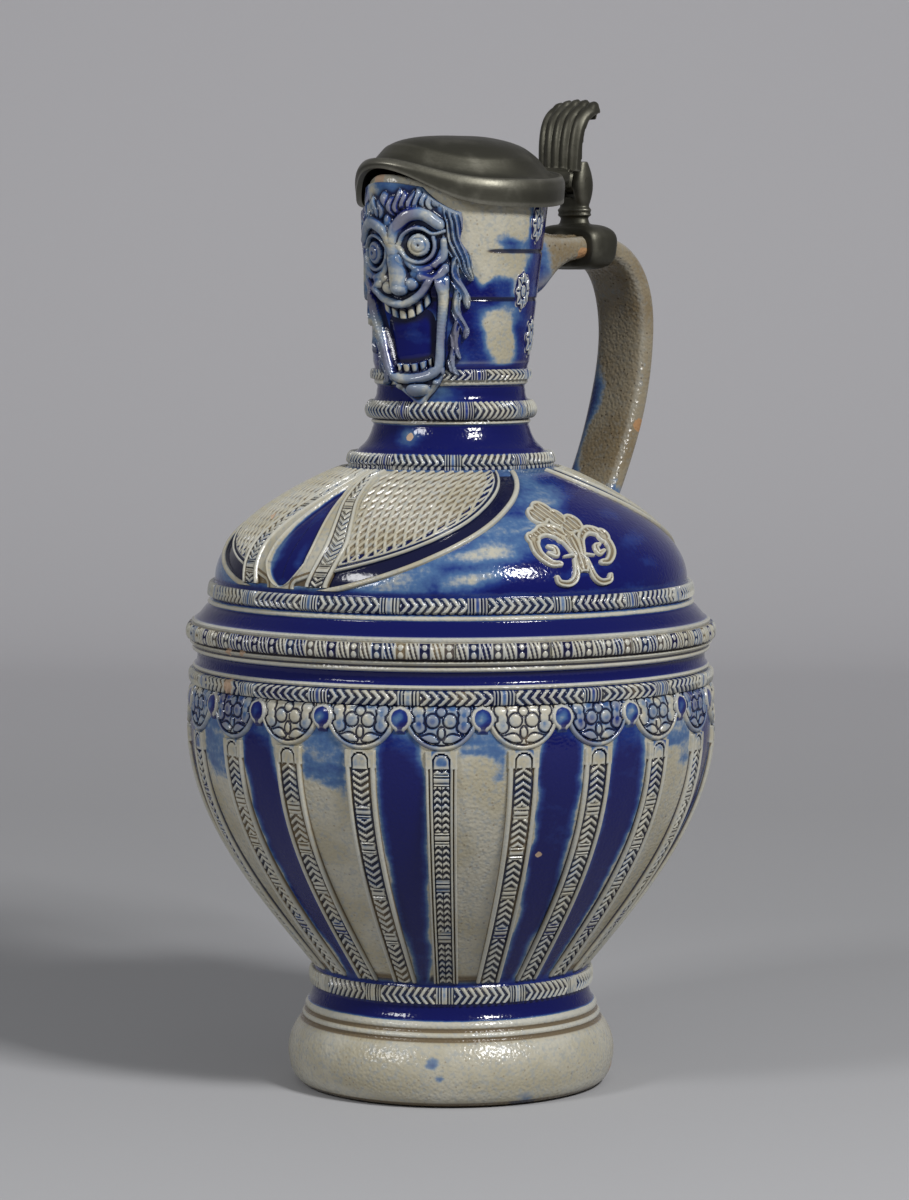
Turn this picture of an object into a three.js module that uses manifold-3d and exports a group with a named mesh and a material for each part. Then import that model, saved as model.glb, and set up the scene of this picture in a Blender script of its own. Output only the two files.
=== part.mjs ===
// A salt-glazed stoneware jug: thrown body and neck, strap handle, moulded mask, strips and sprigs, and a
// hinged pewter lid. Millimetres, +Z up, origin at the centre of the flat base. The spout and its mask face
// -Y, the handle stands at +Y, and angles run from -Y towards +X.

import * as THREE from 'three';
import { mergeVertices } from 'three/addons/utils/BufferGeometryUtils.js';
import Module from 'manifold-3d';

const DEGREE = Math.PI / 180;
const FULL_TURN = 2 * Math.PI;

// Vessel: radii
const FOOT_EDGE_RADIUS = 54;
const FOOT_RADIUS = 59.4;
const WAIST_RADIUS = 50.3;
const BELLY_RADIUS = 94.6;
const COLLAR_RADIUS = 37.8;
const NECK_RADIUS = 28;
const MOUTH_RADIUS = 34.2;
const WALL = 5.5;

// Vessel: heights of its zones, from the base up
const FOOT_HEIGHT = 25;
const WAIST_HEIGHT = 18.5;
const BELLY_HEIGHT = 103;
const GIRDLE_HEIGHT = 37;
const SHOULDER_HEIGHT = 40;
const COLLAR_HEIGHT = 36.5;
const NECK_HEIGHT = 62;
const FLOOR_HEIGHT = 11;

// Spout: the mouth leans back and is pinched beside a small lip
const MOUTH_LEAN = 1.8;
const PINCH_DEPTH = 2.6;
const PINCH_ANGLE = 0.85;
const PINCH_SPREAD = 0.5;
const SPOUT_REACH = 3.4;
const SPOUT_SPREAD = 0.3;
const SPOUT_RISE = 5.6;
const REAR_RISE = 1.6;
const RIM_BLEND = 14;

// Gaps
const SEAT = 0.3;
const BEDDING = 0.6;
const PIN_GAP = 0.3;
const CHEEK_GAP = 0.35;
const SLOT_GAP = 0.5;

// Facets
const SIDES = 42;
const FOOT_SIDES = 28;
const NECK_SIDES = 28;
const INNER_SIDES = 21;
const PIN_SIDES = 14;
const SLOT_SIDES = 20;

// Belly ornament
const RIB_COUNT = 21;
const RIB_PHASE = 42 * DEGREE;
const RIB_TOP_WIDTH = 11.6;
const RIB_FOOT_WIDTH = 9;
const RIB_HEIGHT = 1.3;
const FLUTE_DEPTH = 1.1;
const LUNETTE_DROP = 19;
const LUNETTE_WIDTH = 27;
const LUNETTE_HEIGHT = 1.4;

// Shoulder ornament
const STRIP_WIDTH = 9.4;
const STRIP_HEIGHT = 1.5;
const SPRIG_ANGLE = 77 * DEGREE;
const SPRIG_HEIGHT = 33;
const SPRIG_RELIEF = 1.5;

// Neck ornament
const ROSETTE_WIDTH = 7.6;
const ROSETTE_LENGTH = 13;
const ROSETTE_HEIGHT = 1.3;
const MASK_HALF_WIDTH = 24;
const MASK_HEIGHT = 74;
const MASK_ANGLE = 4 * DEGREE;
const MASK_TILT = 0.25 * DEGREE;
const MASK_BASE = 1.8;

// Handle
const HANDLE_WIDTH = 25;
const HANDLE_THICKNESS = 10;
const HANDLE_ROOT = 27;
const HANDLE_TOP_HEIGHT = 43;
const HANDLE_REACH = 46;
const HANDLE_FOOT_HEIGHT = 21;

// Lid and hinge
const LID_OVERHANG = 3.2;
const LID_OFFSET = 5;
const LID_BEAK = 6.2;
const LID_BEAK_SPREAD = 0.45;
const LID_WALL = 2.4;
const LID_BELL = 0.6;
const LID_SIDES = 32;
const HINGE_REACH = 23.6;
const HINGE_RISE = 5;
const PIN_RADIUS = 1.6;
const KNUCKLE_RADIUS = 4.6;
const KNUCKLE_WIDTH = 5.2;
const CHEEK_THICKNESS = 4.2;
const CHEEK_LENGTH = 20;
const CHEEK_DEPTH = 9;
const BAND_WIDTH = 15;
const BAND_WALL = 3.4;
const SHELL_WIDTH = 23;
const SHELL_HEIGHT = 23;
const SHELL_LOBES = 5;

// Heights where the zones meet
const waistZ = FOOT_HEIGHT;
const bellyZ = waistZ + WAIST_HEIGHT;
const girdleZ = bellyZ + BELLY_HEIGHT;
const shoulderZ = girdleZ + GIRDLE_HEIGHT;
const collarZ = shoulderZ + SHOULDER_HEIGHT;
const neckZ = collarZ + COLLAR_HEIGHT;
const rimZ = neckZ + NECK_HEIGHT;

const wasm = await Module();
wasm.setup();

// Helpers

const mix = (a, b, t) => a + (b - a) * t;
const clamp01 = (t) => Math.min(1, Math.max(0, t));
const bell = (x, spread) => Math.exp(-((x / spread) ** 2));
const wrap = (angle) => Math.atan2(Math.sin(angle), Math.cos(angle));
const range = (count) => Array.from({ length: count }, (_, i) => i);

// A point at an angle from -Y, a distance from the axis and a height.
const polar = (angle, radius, z) =>
  new THREE.Vector3(radius * Math.sin(angle), -radius * Math.cos(angle), z);

// Joins closed rings of points, one after the other, into one closed surface. A ring of one point
// is a pole; the first and the last ring are otherwise closed over their middle.
function skin(rings) {
  const points = [];
  const faces = [];
  const starts = rings.map((ring) => {
    points.push(...ring);
    return points.length - ring.length;
  });
  for (let k = 0; k + 1 < rings.length; k += 1) {
    stitch(faces, rings[k].length, starts[k], rings[k + 1].length, starts[k + 1]);
  }
  const last = rings.length - 1;
  cap(points, faces, rings[0], starts[0], true);
  cap(points, faces, rings[last], starts[last], false);
  const geometry = new THREE.BufferGeometry().setFromPoints(points);
  geometry.setIndex(faces);
  return faceOut(geometry);
}

// Triangles between two rings whose points go round the same way, also where their counts differ.
function stitch(faces, lowCount, lowStart, highCount, highStart) {
  let low = 0;
  let high = 0;
  const at = (i, count, start) => start + (i % count);
  while (low < lowCount || high < highCount) {
    const lowNext = lowCount === 1 ? Infinity : (low + 1) / lowCount;
    const highNext = highCount === 1 ? Infinity : (high + 1) / highCount;
    const a = at(low, lowCount, lowStart);
    const b = at(high, highCount, highStart);
    if (lowNext <= highNext) {
      faces.push(a, at(low + 1, lowCount, lowStart), b);
      low += 1;
    } else {
      faces.push(a, at(high + 1, highCount, highStart), b);
      high += 1;
    }
    if (lowCount === 1 && high === highCount) break;
    if (highCount === 1 && low === lowCount) break;
  }
}

// Closes a ring with a fan of triangles round its middle point.
function cap(points, faces, ring, start, first) {
  if (ring.length === 1) return;
  const middle = new THREE.Vector3();
  ring.forEach((point) => middle.addScaledVector(point, 1 / ring.length));
  const centre = points.push(middle) - 1;
  range(ring.length).forEach((i) => {
    const here = start + i;
    const next = start + ((i + 1) % ring.length);
    faces.push(...(first ? [next, here, centre] : [here, next, centre]));
  });
}

// Turns a closed surface so that its faces point out.
function faceOut(geometry) {
  const position = geometry.attributes.position;
  const index = Array.from(geometry.index.array);
  const corner = (i) => new THREE.Vector3().fromBufferAttribute(position, i);
  let volume = 0;
  for (let i = 0; i < index.length; i += 3) {
    volume += corner(index[i]).dot(corner(index[i + 1]).cross(corner(index[i + 2])));
  }
  if (volume < 0) index.reverse();
  geometry.setIndex(index);
  return geometry;
}

// A geometry as a solid that can be cut and joined.
function toSolid(geometry) {
  const bare = new THREE.BufferGeometry();
  bare.setAttribute('position', geometry.getAttribute('position').clone());
  bare.setIndex(geometry.index);
  const merged = mergeVertices(bare, 1e-4);
  return new wasm.Manifold(new wasm.Mesh({
    numProp: 3,
    vertProperties: merged.attributes.position.array,
    triVerts: Uint32Array.from(merged.index.array),
  }));
}

// A cut or joined solid as a geometry, with faces smaller than a hair closed up.
function toGeometry(solid) {
  const mesh = solid.simplify(0.05).getMesh();
  const geometry = new THREE.BufferGeometry();
  geometry.setAttribute('position', new THREE.BufferAttribute(Float32Array.from(mesh.vertProperties), 3));
  geometry.setIndex(Array.from(mesh.triVerts));
  return geometry;
}

// Vessel profile: rows of [radius, height] from the base edge to the top of the neck

const moulding = (radius, z, steps) => steps.map(([out, rise]) => [radius + out, z + rise]);

function footRows() {
  return [0, 0.12, 0.35, 0.62, 0.82].map((share) => {
    const swell = Math.sin(Math.PI * share) ** 0.7;
    return [mix(FOOT_EDGE_RADIUS, FOOT_RADIUS, swell), share * FOOT_HEIGHT];
  });
}

// Ridge, blue cove and chevron ring over the foot.
function waistRows() {
  return moulding(WAIST_RADIUS, waistZ, [
    [3.6, 0], [4.4, 1.6], [2.9, 3.2],
    [1.4, 5.8], [0, 9],
    [0.3, 11], [1.3, 13.8], [0.3, 16.6],
  ]);
}

const bellyFoot = WAIST_RADIUS - 1.1;
const bellyCrest = 0.85 * BELLY_HEIGHT;
const lunetteFootZ = girdleZ - SEAT - LUNETTE_DROP;
const ribTopZ = lunetteFootZ - SEAT;

function bellyRadius(z) {
  const share = (z - bellyZ) / bellyCrest;
  return bellyFoot + (BELLY_RADIUS - bellyFoot) * Math.sin((share * Math.PI) / 2);
}

const ribStations = [0, 0.2, 0.4, 0.6, 0.8, 1].map((share) => mix(bellyZ, ribTopZ, share));

const bellyRows = () => ribStations.map((z) => [bellyRadius(z), z]);

// Chevron band, blue cove, two ridges, bead ring, ridge, blue cove and chevron band.
function girdleRows() {
  return moulding(BELLY_RADIUS, girdleZ, [
    [-1.2, 0], [0.5, 2.9], [0.1, 5.6],
    [-2.1, 7.8], [-2.1, 10.2],
    [-0.6, 12.4], [-1.1, 13.8],
    [0.5, 15.4], [1.6, 18.2], [0.6, 21],
    [-0.2, 22.3], [-3, 24], [-5.4, 26.6], [-7.3, 29],
    [-7, 30.4], [-6.2, 33.2], [-7.6, 35.8],
  ]);
}

const shoulderTop = BELLY_RADIUS - 9.2;

function shoulderRadius(z) {
  const share = clamp01((z - shoulderZ) / SHOULDER_HEIGHT);
  return COLLAR_RADIUS + (shoulderTop - COLLAR_RADIUS) * Math.cos((share * Math.PI) / 2) ** 0.82;
}

function shoulderRows() {
  return [0, 0.18, 0.36, 0.52, 0.66, 0.78, 0.89].map((share) => {
    const z = shoulderZ + share * SHOULDER_HEIGHT;
    return [shoulderRadius(z), z];
  });
}

// Chevron collar, cove, lower ring, cove and upper ring.
function collarRows() {
  const collar = moulding(COLLAR_RADIUS, collarZ, [[-0.2, 0], [0, 2.8], [-1.8, 5.4]]);
  const rings = moulding(NECK_RADIUS, collarZ, [
    [3, 9], [1, 12.6], [0.3, 16],
    [1.2, 17.6], [3.1, 20.9], [1.2, 24.2],
    [-0.5, 25.4], [-1.1, 28.4], [-1, 30.8],
    [0.3, 32], [1, 33.8], [0.2, 35.8],
  ]);
  return [...collar, ...rings];
}

const neckRadius = (z) => mix(NECK_RADIUS, MOUTH_RADIUS, clamp01((z - neckZ) / NECK_HEIGHT));

const neckRows = () =>
  [0.03, 0.24, 0.5, 0.76, 0.96].map((share) => {
    const z = neckZ + share * NECK_HEIGHT;
    return [neckRadius(z), z];
  });

const lowerRows = () => [...footRows(), ...waistRows(), ...bellyRows(), ...girdleRows(), ...shoulderRows()];
const upperRows = () => [...collarRows(), ...neckRows()];

// Moves each row of a profile outwards, square to it.
function growRows(rows, grow) {
  return rows.map(([radius, z], i) => {
    const [r0, z0] = rows[Math.max(0, i - 1)];
    const [r1, z1] = rows[Math.min(rows.length - 1, i + 1)];
    const length = Math.hypot(r1 - r0, z1 - z0);
    return [radius + (grow * (z1 - z0)) / length, z - (grow * (r1 - r0)) / length];
  });
}

// How far the spout pushes the neck in or out at an angle and a height.
function mouthShape(angle, z) {
  const share = clamp01((z - neckZ) / NECK_HEIGHT);
  const around = wrap(angle);
  const pinch = PINCH_DEPTH * bell(Math.abs(around) - PINCH_ANGLE, PINCH_SPREAD);
  const lip = SPOUT_REACH * share * bell(around, SPOUT_SPREAD);
  return share * (lip - pinch - MOUTH_LEAN * Math.cos(around));
}

// A saddle: one height at the front, one at the sides and one at the rear.
function saddle(angle, front, side, rear) {
  const around = wrap(angle);
  const back = Math.max(0, -Math.cos(around)) ** 2;
  return side + (front - side) * bell(around, LID_BELL) + (rear - side) * back;
}

// Height that the mouth's saddle adds to a row near the rim.
const rimLift = (angle, z) =>
  clamp01((z - rimZ + RIM_BLEND) / RIM_BLEND) ** 2 * saddle(angle, SPOUT_RISE, 0, REAR_RISE);

// Point on the vessel at an angle, for a row of its profile.
const onVessel = (angle, radius, z) =>
  polar(angle, radius + mouthShape(angle, z), z + rimLift(angle, z));

const facetHalf = Math.PI / SIDES;
const ringStart = RIB_PHASE + facetHalf;

// A plain ring of the vessel.
const vesselRing = (sides) => ([radius, z]) =>
  range(sides).map((i) => onVessel(ringStart + (i * FULL_TURN) / sides, radius, z));

// A ring of the belly with a shallow flute between each two ribs.
function fluteRing([radius, z]) {
  const depth = FLUTE_DEPTH * Math.sin(Math.PI * clamp01((z - bellyZ) / (girdleZ - bellyZ)));
  return range(RIB_COUNT).flatMap((i) => {
    const edge = ringStart + (i * FULL_TURN) / RIB_COUNT;
    return [
      polar(edge, radius, z),
      polar(edge + facetHalf, radius - depth, z),
      polar(edge + 2 * facetHalf, radius, z),
    ];
  });
}

function outerRings(grow) {
  const rows = growRows([...lowerRows(), ...upperRows()], grow);
  const plainCount = footRows().length + waistRows().length;
  const fluteCount = plainCount + ribStations.length;
  const lowerCount = lowerRows().length;
  return rows.map((row, i) => {
    if (i < plainCount) return vesselRing(FOOT_SIDES)(row);
    if (i < fluteCount) return fluteRing(row);
    return vesselRing(i < lowerCount ? SIDES : NECK_SIDES)(row);
  });
}

// The lip and the hollow, from the rim down to the middle of the floor.
function innerRings() {
  const lip = moulding(MOUTH_RADIUS, rimZ, [[-1.2, 0], [-3, 0.6], [-WALL + 0.6, -0.6]]);
  const neck = [0.8, 0.4, 0].map((share) => {
    const z = neckZ + share * NECK_HEIGHT;
    return [neckRadius(z) - WALL, z];
  });
  const throat = [[NECK_RADIUS - WALL + 0.5, collarZ + 12], [NECK_RADIUS - WALL + 4, collarZ + 2]];
  const shoulder = [0.8, 0.55, 0.2].map((share) => {
    const z = shoulderZ + share * SHOULDER_HEIGHT;
    return [shoulderRadius(z + WALL) - WALL, z];
  });
  const belly = [1.05, 0.8, 0.55, 0.3, 0.06].map((share) => {
    const z = bellyZ + share * BELLY_HEIGHT;
    return [Math.min(bellyRadius(z), BELLY_RADIUS) - WALL - FLUTE_DEPTH, z];
  });
  const base = [[WAIST_RADIUS - WALL - 4, waistZ + 4], [WAIST_RADIUS - WALL - 16, FLOOR_HEIGHT]];
  const rows = [...neck, ...throat, ...shoulder, ...belly, ...base];
  return [
    ...lip.map(vesselRing(NECK_SIDES)),
    ...rows.map(vesselRing(INNER_SIDES)),
    [new THREE.Vector3(0, 0, FLOOR_HEIGHT)],
  ];
}

// The neck was thrown by itself and luted on at the collar: the vessel below and above that seam.
function vesselGeometries() {
  const whole = toSolid(skin([...outerRings(0), ...innerRings()]));
  const body = whole.trimByPlane([0, 0, -1], SEAT / 2 - collarZ);
  const neck = whole.trimByPlane([0, 0, 1], collarZ + SEAT / 2);
  return [body, neck].map(toGeometry);
}

// The vessel without its hollow and a seat's gap larger, which cuts the back of what is luted to it.
const vesselCutter = toSolid(skin([
  ...outerRings(SEAT),
  [new THREE.Vector3(0, 0, rimZ + SPOUT_RISE)],
]));

const luted = (geometry) => toGeometry(toSolid(geometry).subtract(vesselCutter));

// Belly strips: a plain ridge along each edge and a lower middle

const RIB_SECTION = [[-0.5, 0.5], [-0.38, 1], [0, 0.75], [0.38, 1], [0.5, 0.5]];

// A point on the flat of the vessel under a strip, moved sideways and outwards.
function onFacet(angle, radius, z, slope, side, out) {
  const reach = radius * Math.cos(facetHalf) + out * Math.cos(slope);
  const point = polar(angle, reach, z + out * Math.sin(slope));
  return point.add(new THREE.Vector3(side * Math.cos(angle), side * Math.sin(angle), 0));
}

function ribGeometry(angle) {
  const first = ribStations[0] + SEAT;
  const stations = [first, ...ribStations.slice(1)];
  return skin(stations.map((z) => {
    const slope = Math.atan2(bellyRadius(z - 1) - bellyRadius(z + 1), 2);
    const share = (z - bellyZ) / (ribTopZ - bellyZ);
    const width = mix(RIB_FOOT_WIDTH, RIB_TOP_WIDTH, share);
    const radius = bellyRowRadius(z);
    const back = [[0.5, SEAT], [-0.5, SEAT]];
    const front = RIB_SECTION.map(([side, height]) => [side, SEAT + height * RIB_HEIGHT]);
    return [...front, ...back].map(([side, out]) => onFacet(angle, radius, z, slope, side * width, out));
  }));
}

// The belly's radius between its rows, as its flat facets have it.
function bellyRowRadius(z) {
  const above = ribStations.findIndex((station) => station >= z);
  const i = above < 1 ? 1 : above;
  const share = (z - ribStations[i - 1]) / (ribStations[i] - ribStations[i - 1]);
  return mix(bellyRadius(ribStations[i - 1]), bellyRadius(ribStations[i]), share);
}

// Half-moon ornaments over the strips: a bowl with a raised edge and a cluster of berries

const LUNETTE_COLUMNS = [-1, -0.72, -0.36, 0, 0.36, 0.72, 1];

function lunetteGeometry(angle) {
  const topZ = girdleZ - SEAT;
  const topRadius = BELLY_RADIUS - 1.2;
  const footRadius = bellyRadius(ribTopZ);
  return skin(LUNETTE_COLUMNS.map((share) => {
    const round = Math.sqrt(1 - 0.96 * share ** 2);
    const drop = mix(0.2, 1, round) * LUNETTE_DROP;
    const turn = angle + (share * LUNETTE_WIDTH) / 2 / BELLY_RADIUS;
    const berry = 1 + 0.5 * bell(Math.abs(share) - 0.3, 0.25);
    const heights = [[0, 0.8], [0.16, 1.15], [0.66, berry], [1, 0.8], [1, 0], [0, 0]];
    return heights.map(([rise, height]) => {
      const z = topZ - drop * (1 - rise);
      const radius = mix(footRadius, topRadius, (z - ribTopZ) / (topZ - ribTopZ));
      return polar(turn, radius + SEAT + height * LUNETTE_HEIGHT, z);
    });
  }));
}

// Ornaments of the shoulder

// A point over the shoulder at a distance sideways of an angle, and a height above its surface.
function onShoulder(angle, side, z, out) {
  const radius = shoulderRadius(z);
  const slope = Math.atan2(shoulderRadius(z - 0.5) - shoulderRadius(z + 0.5), 1);
  return polar(angle + side / radius, radius + out * Math.cos(slope), z + out * Math.sin(slope));
}

// A raised line over the shoulder. Its path holds [side, height] points; its width may change along it.
function shoulderLine(angle, path, width, height, section, pitch) {
  const curve = new THREE.SplineCurve(path.map(([side, z]) => new THREE.Vector2(side, z)));
  const steps = Math.max(3, Math.round(curve.getLength() / pitch));
  return skin(range(steps + 1).map((i) => {
    const share = i / steps;
    const point = curve.getPoint(share);
    const along = curve.getTangent(share);
    return section.map(([across, out]) => {
      const side = point.x + across * width(share) * along.y;
      const z = point.y - across * width(share) * along.x;
      return onShoulder(angle, side, z, out < 0 ? BEDDING : BEDDING + out * height);
    });
  }));
}

const ROUND_SECTION = [[-0.5, -1], [-0.36, 1], [0.36, 1], [0.5, -1]];
const STRIP_SECTION = [[-0.5, -1], [-0.5, 0.5], [-0.36, 1], [0, 0.75], [0.36, 1], [0.5, 0.5], [0.5, -1]];

// A chevron strip beside the middle flute of a shoulder field, bowed outwards, and further where it passes
// the foot of the handle.
function stripGeometry(angle, hand, spread) {
  const bow = [[3.8, 1], [8.5, 1], [14.5, 0.95], [18.5, 0.7], [18.5, 0.5], [16.5, 0.35]];
  const offsets = bow.map(([side, share]) => (side + share * spread) * hand);
  const path = offsets.map((side, i) => [side, collarZ - 3 - i * ((SHOULDER_HEIGHT - 5.4) / 5)]);
  const width = (share) => mix(0.5, 1, clamp01(share * 1.6)) * STRIP_WIDTH;
  return shoulderLine(angle, path, width, STRIP_HEIGHT, STRIP_SECTION, 6.5);
}

// A sprig of scrolls: bound stems with curled feet, a scroll at each side and a three-lobed bud.
function sprigGeometry(angle) {
  const footZ = shoulderZ + 3;
  const rise = (26 / 33) * (SPRIG_HEIGHT / 33);
  const place = (path) => path.map(([side, up]) => [side, footZ + up * rise]);
  const scroll = [[1.6, 12], [5, 21], [12, 23.5], [16.4, 18], [15, 10.5], [10.6, 9.6], [9.6, 14]];
  const foot = [[10.5, 2.6], [7, 0.6], [3.4, 2.6], [1.9, 9], [2.6, 20]];
  const line = (path, width) => shoulderLine(angle, place(path), width, SPRIG_RELIEF, ROUND_SECTION, 4.6);
  const thin = () => 2.6;
  const lobe = (share) => {
    const tip = Math.sqrt(1 - 0.8 * clamp01(share * 3 - 2) ** 2);
    return mix(2.4, 6.6, Math.sin(share * 2.3)) * tip;
  };
  const pieces = [1, -1].flatMap((hand) =>
    [scroll, foot].map((path) => line(path.map(([side, up]) => [side * hand, up]), thin)));
  pieces.push(line([[-6, 12], [0, 12.6], [6, 12]], thin));
  [-0.9, 0, 0.9].forEach((lean) => {
    pieces.push(line([[0, 17], [14 * Math.sin(lean), 19 + 13 * Math.cos(lean)]], lobe));
  });
  const joined = pieces.map(toSolid).reduce((whole, piece) => whole.add(piece));
  return toGeometry(joined);
}

// Ornaments of the neck

// A point over the neck, a distance sideways of an angle, with a height above its surface.
function onNeck(angle, side, z, out) {
  const radius = Math.max(neckRadius(z), z < neckZ ? NECK_RADIUS + 1 : 0);
  const turn = angle + side / radius;
  return polar(turn, radius + mouthShape(turn, z) + out, z);
}

// An oval rosette with eight petals.
function rosetteGeometry(angle, z) {
  const petals = 8;
  const ring = (size, out) => range(2 * petals).map((i) => {
    const turn = (i * FULL_TURN) / (2 * petals);
    const reach = size * (i % 2 ? 0.9 : 1);
    const side = (reach * ROSETTE_WIDTH * Math.sin(turn)) / 2;
    return onNeck(angle, side, z + (reach * ROSETTE_LENGTH * Math.cos(turn)) / 2, out);
  });
  const top = [onNeck(angle, 0, z, BEDDING + ROSETTE_HEIGHT)];
  const petalRings = [[0.62, 0.9], [1, 0.4], [1, 0]];
  return skin([top, ...petalRings.map(([size, rise]) => ring(size, BEDDING + rise * ROSETTE_HEIGHT))]);
}

// Features of the mask as [side, height, half width, half height, relief], mirrored where side isn't 0.
const MASK_FEATURES = [
  [8.6, 62.5, 7.4, 2.6, 2.6], [0, 57, 2.8, 6.5, 2.6], [0, 45, 3, 9, 3.6], [0, 39.6, 4, 3.4, 2.6],
  [5, 39.4, 2.4, 2.2, 2], [14, 45, 4.6, 4.4, 2.2], [7.6, 35.6, 7.4, 1.9, 2.4], [14.8, 31, 2.4, 7.5, 2.6],
  [13.4, 18, 2.2, 8, 2.2], [6, 7, 6, 2, 2], [0, 2.4, 4.4, 3.6, 4], [20.8, 52, 2.6, 9, 1.8],
  [20, 34, 2.4, 8, 1.6], [17.6, 17, 2.2, 7, 1.4], [0, 71, 3.4, 3.2, 2], [8.2, 70.5, 3.2, 3.2, 2.2],
  [16, 67.5, 3.2, 3.4, 2],
];
const EYE = { side: 9.4, z: 54, radius: 5.2 };
const MOUTH = { z: 21, halfWidth: 11.4, halfHeight: 13.4 };

// A bump with steeper sides than a bell.
const hump = (x, spread) => Math.exp(-(Math.abs(x / spread) ** 2.8));

// Relief of the mask at a place on it: a grotesque with round eyes and a gaping, toothed mouth.
function maskRelief(side, up) {
  const across = Math.abs(side);
  const raised = MASK_FEATURES.reduce((sum, [x, z, wide, high, relief]) =>
    sum + relief * hump(across - x, wide) * hump(up - z, high), 0);
  const fromEye = Math.hypot(across - EYE.side, up - EYE.z) / EYE.radius;
  const eye = fromEye < 1 ? 3 * Math.sqrt(1 - fromEye ** 2) : -0.9 * bell(fromEye - 1.2, 0.25);
  const fromMouth = Math.hypot(across / MOUTH.halfWidth, (up - MOUTH.z) / MOUTH.halfHeight);
  const teeth = hump(Math.abs(up - MOUTH.z) - 9.6, 2) * (0.6 + 0.4 * Math.cos(across * 1.5)) * 1.5;
  const flesh = MASK_BASE + Math.max(0, raised + eye);
  return mix(0.5 + teeth, flesh, clamp01((fromMouth - 0.88) / 0.2));
}

// Half the width of the mask at a share of its height.
const maskHalfWidth = (share) => MASK_HALF_WIDTH * Math.sqrt(1 - ((share - 0.72) / 0.8) ** 2);

function maskGeometry() {
  const columns = 22;
  const footZ = rimZ - 1 - MASK_HEIGHT;
  const eyeZ = footZ + EYE.z;
  const under = (side, z) => lidSkirt(MASK_ANGLE + side / MOUTH_RADIUS) - 2.5 - z;
  const rows = range(25).map((j) => j / 24);
  const place = (share, across, out) => {
    const side = across * maskHalfWidth(share);
    const top = Math.min(MASK_HEIGHT, under(side, footZ));
    const z = footZ + share * top;
    const turn = MASK_ANGLE + MASK_TILT * (eyeZ - z);
    const relief = out ?? SEAT + maskRelief(side, z - footZ) * clamp01((1.04 - Math.abs(across)) * 8);
    return onNeck(turn, side, z, relief);
  };
  const rings = rows.map((share) => {
    const front = range(columns + 1).map((i) => place(share, (2 * i) / columns - 1));
    const back = [1, 0.5, 0, -0.5, -1].map((across) => place(share, across, -5));
    return [...front, ...back];
  });
  return luted(skin(rings));
}

// Handle: a pulled strap, thick at its root on the neck

const lidRadius = MOUTH_RADIUS + LID_OVERHANG;
const hingeY = LID_OFFSET + lidRadius + HINGE_REACH;
const hingeZ = rimZ + HINGE_RISE;
const handleTopZ = neckZ + HANDLE_TOP_HEIGHT;
const rootY = NECK_RADIUS + 3;

function handleCurve() {
  const footZ = shoulderZ + HANDLE_FOOT_HEIGHT;
  const footY = shoulderRadius(footZ) - 3;
  const at = (y, z) => new THREE.Vector3(0, y, z);
  const curve = new THREE.CurvePath();
  curve.add(new THREE.CubicBezierCurve3(
    at(rootY - 5, handleTopZ - 9), at(rootY + 9, handleTopZ - 3),
    at(rootY + 20, handleTopZ), at(hingeY, handleTopZ)));
  curve.add(new THREE.CubicBezierCurve3(
    at(hingeY, handleTopZ), at(hingeY + HANDLE_REACH, handleTopZ + 1),
    at(footY + 26, footZ + 34), at(footY, footZ - 3)));
  return curve;
}

const HALF_STRAP = [[1, 0], [0.92, 0.75], [0.7, 1], [0.36, 0.86]];
const HALF_BACK = [[0.9, -0.72], [0.45, -1]];
const STRAP_SECTION = [
  ...HALF_STRAP, ...HALF_STRAP.map(([x, y]) => [-x, y]).reverse(),
  ...HALF_BACK.map(([x, y]) => [-x, y]), ...HALF_BACK.reverse(),
];

// A ring of the strap at a share of its length, grown sideways and through.
function strapRing(curve, share, grow) {
  const point = curve.getPoint(share);
  const along = curve.getTangent(share);
  const through = new THREE.Vector3(0, -along.z, along.y);
  const root = (HANDLE_ROOT - HANDLE_THICKNESS) * bell(point.y - rootY - 2, 12) * (share < 0.5 ? 1 : 0);
  const halfDepth = (HANDLE_THICKNESS + root) / 2 + grow;
  const halfWidth = HANDLE_WIDTH / 2 + grow;
  return STRAP_SECTION.map(([x, y]) =>
    new THREE.Vector3(x * halfWidth, 0, 0).add(point).addScaledVector(through, y * halfDepth));
}

const HANDLE_STEPS = 22;

const strap = (grow) => {
  const curve = handleCurve();
  return skin(range(HANDLE_STEPS + 1).map((i) => strapRing(curve, i / HANDLE_STEPS, grow)));
};

// Lid: rows of [share of the plan radius, height at the front, sides and rear], above the rim

const LID_OUTER = [
  [0, 20.5, 20.5, 20.5], [0.36, 19.9, 19.2, 19.4], [0.6, 18.8, 16, 16.8], [0.74, 17, 11, 12.8],
  [0.83, 14.2, 7.4, 10.4], [0.91, 11.8, 4.6, 8.6], [0.955, 12, 4.8, 9],
  [1, 10.6, 2.6, 7.4], [0.995, 8.2, -5.5, -0.5],
];
const LID_INNER = [
  [0.94, 8.2, -5.5, -0.5], [0.93, 9, 1.4, 5.2], [0.72, 14.4, 8.4, 10.4], [0.36, 17.4, 16.7, 17],
];

const lidPlan = (angle) => lidRadius + LID_BEAK * bell(wrap(angle), LID_BEAK_SPREAD);

// Height of the lower edge of the skirt.
function lidSkirt(angle) {
  const [, front, side, rear] = LID_OUTER[LID_OUTER.length - 1];
  return rimZ + saddle(angle, front, side, rear);
}

function lidRing([share, front, side, rear], grow) {
  if (share === 0) return [new THREE.Vector3(0, LID_OFFSET, rimZ + front + grow)];
  return range(LID_SIDES).map((i) => {
    const angle = (i * FULL_TURN) / LID_SIDES;
    const z = rimZ + saddle(angle, front, side, rear) + grow;
    const point = polar(angle, share * lidPlan(angle) + grow, z);
    return point.add(new THREE.Vector3(0, LID_OFFSET, 0));
  });
}

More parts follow.
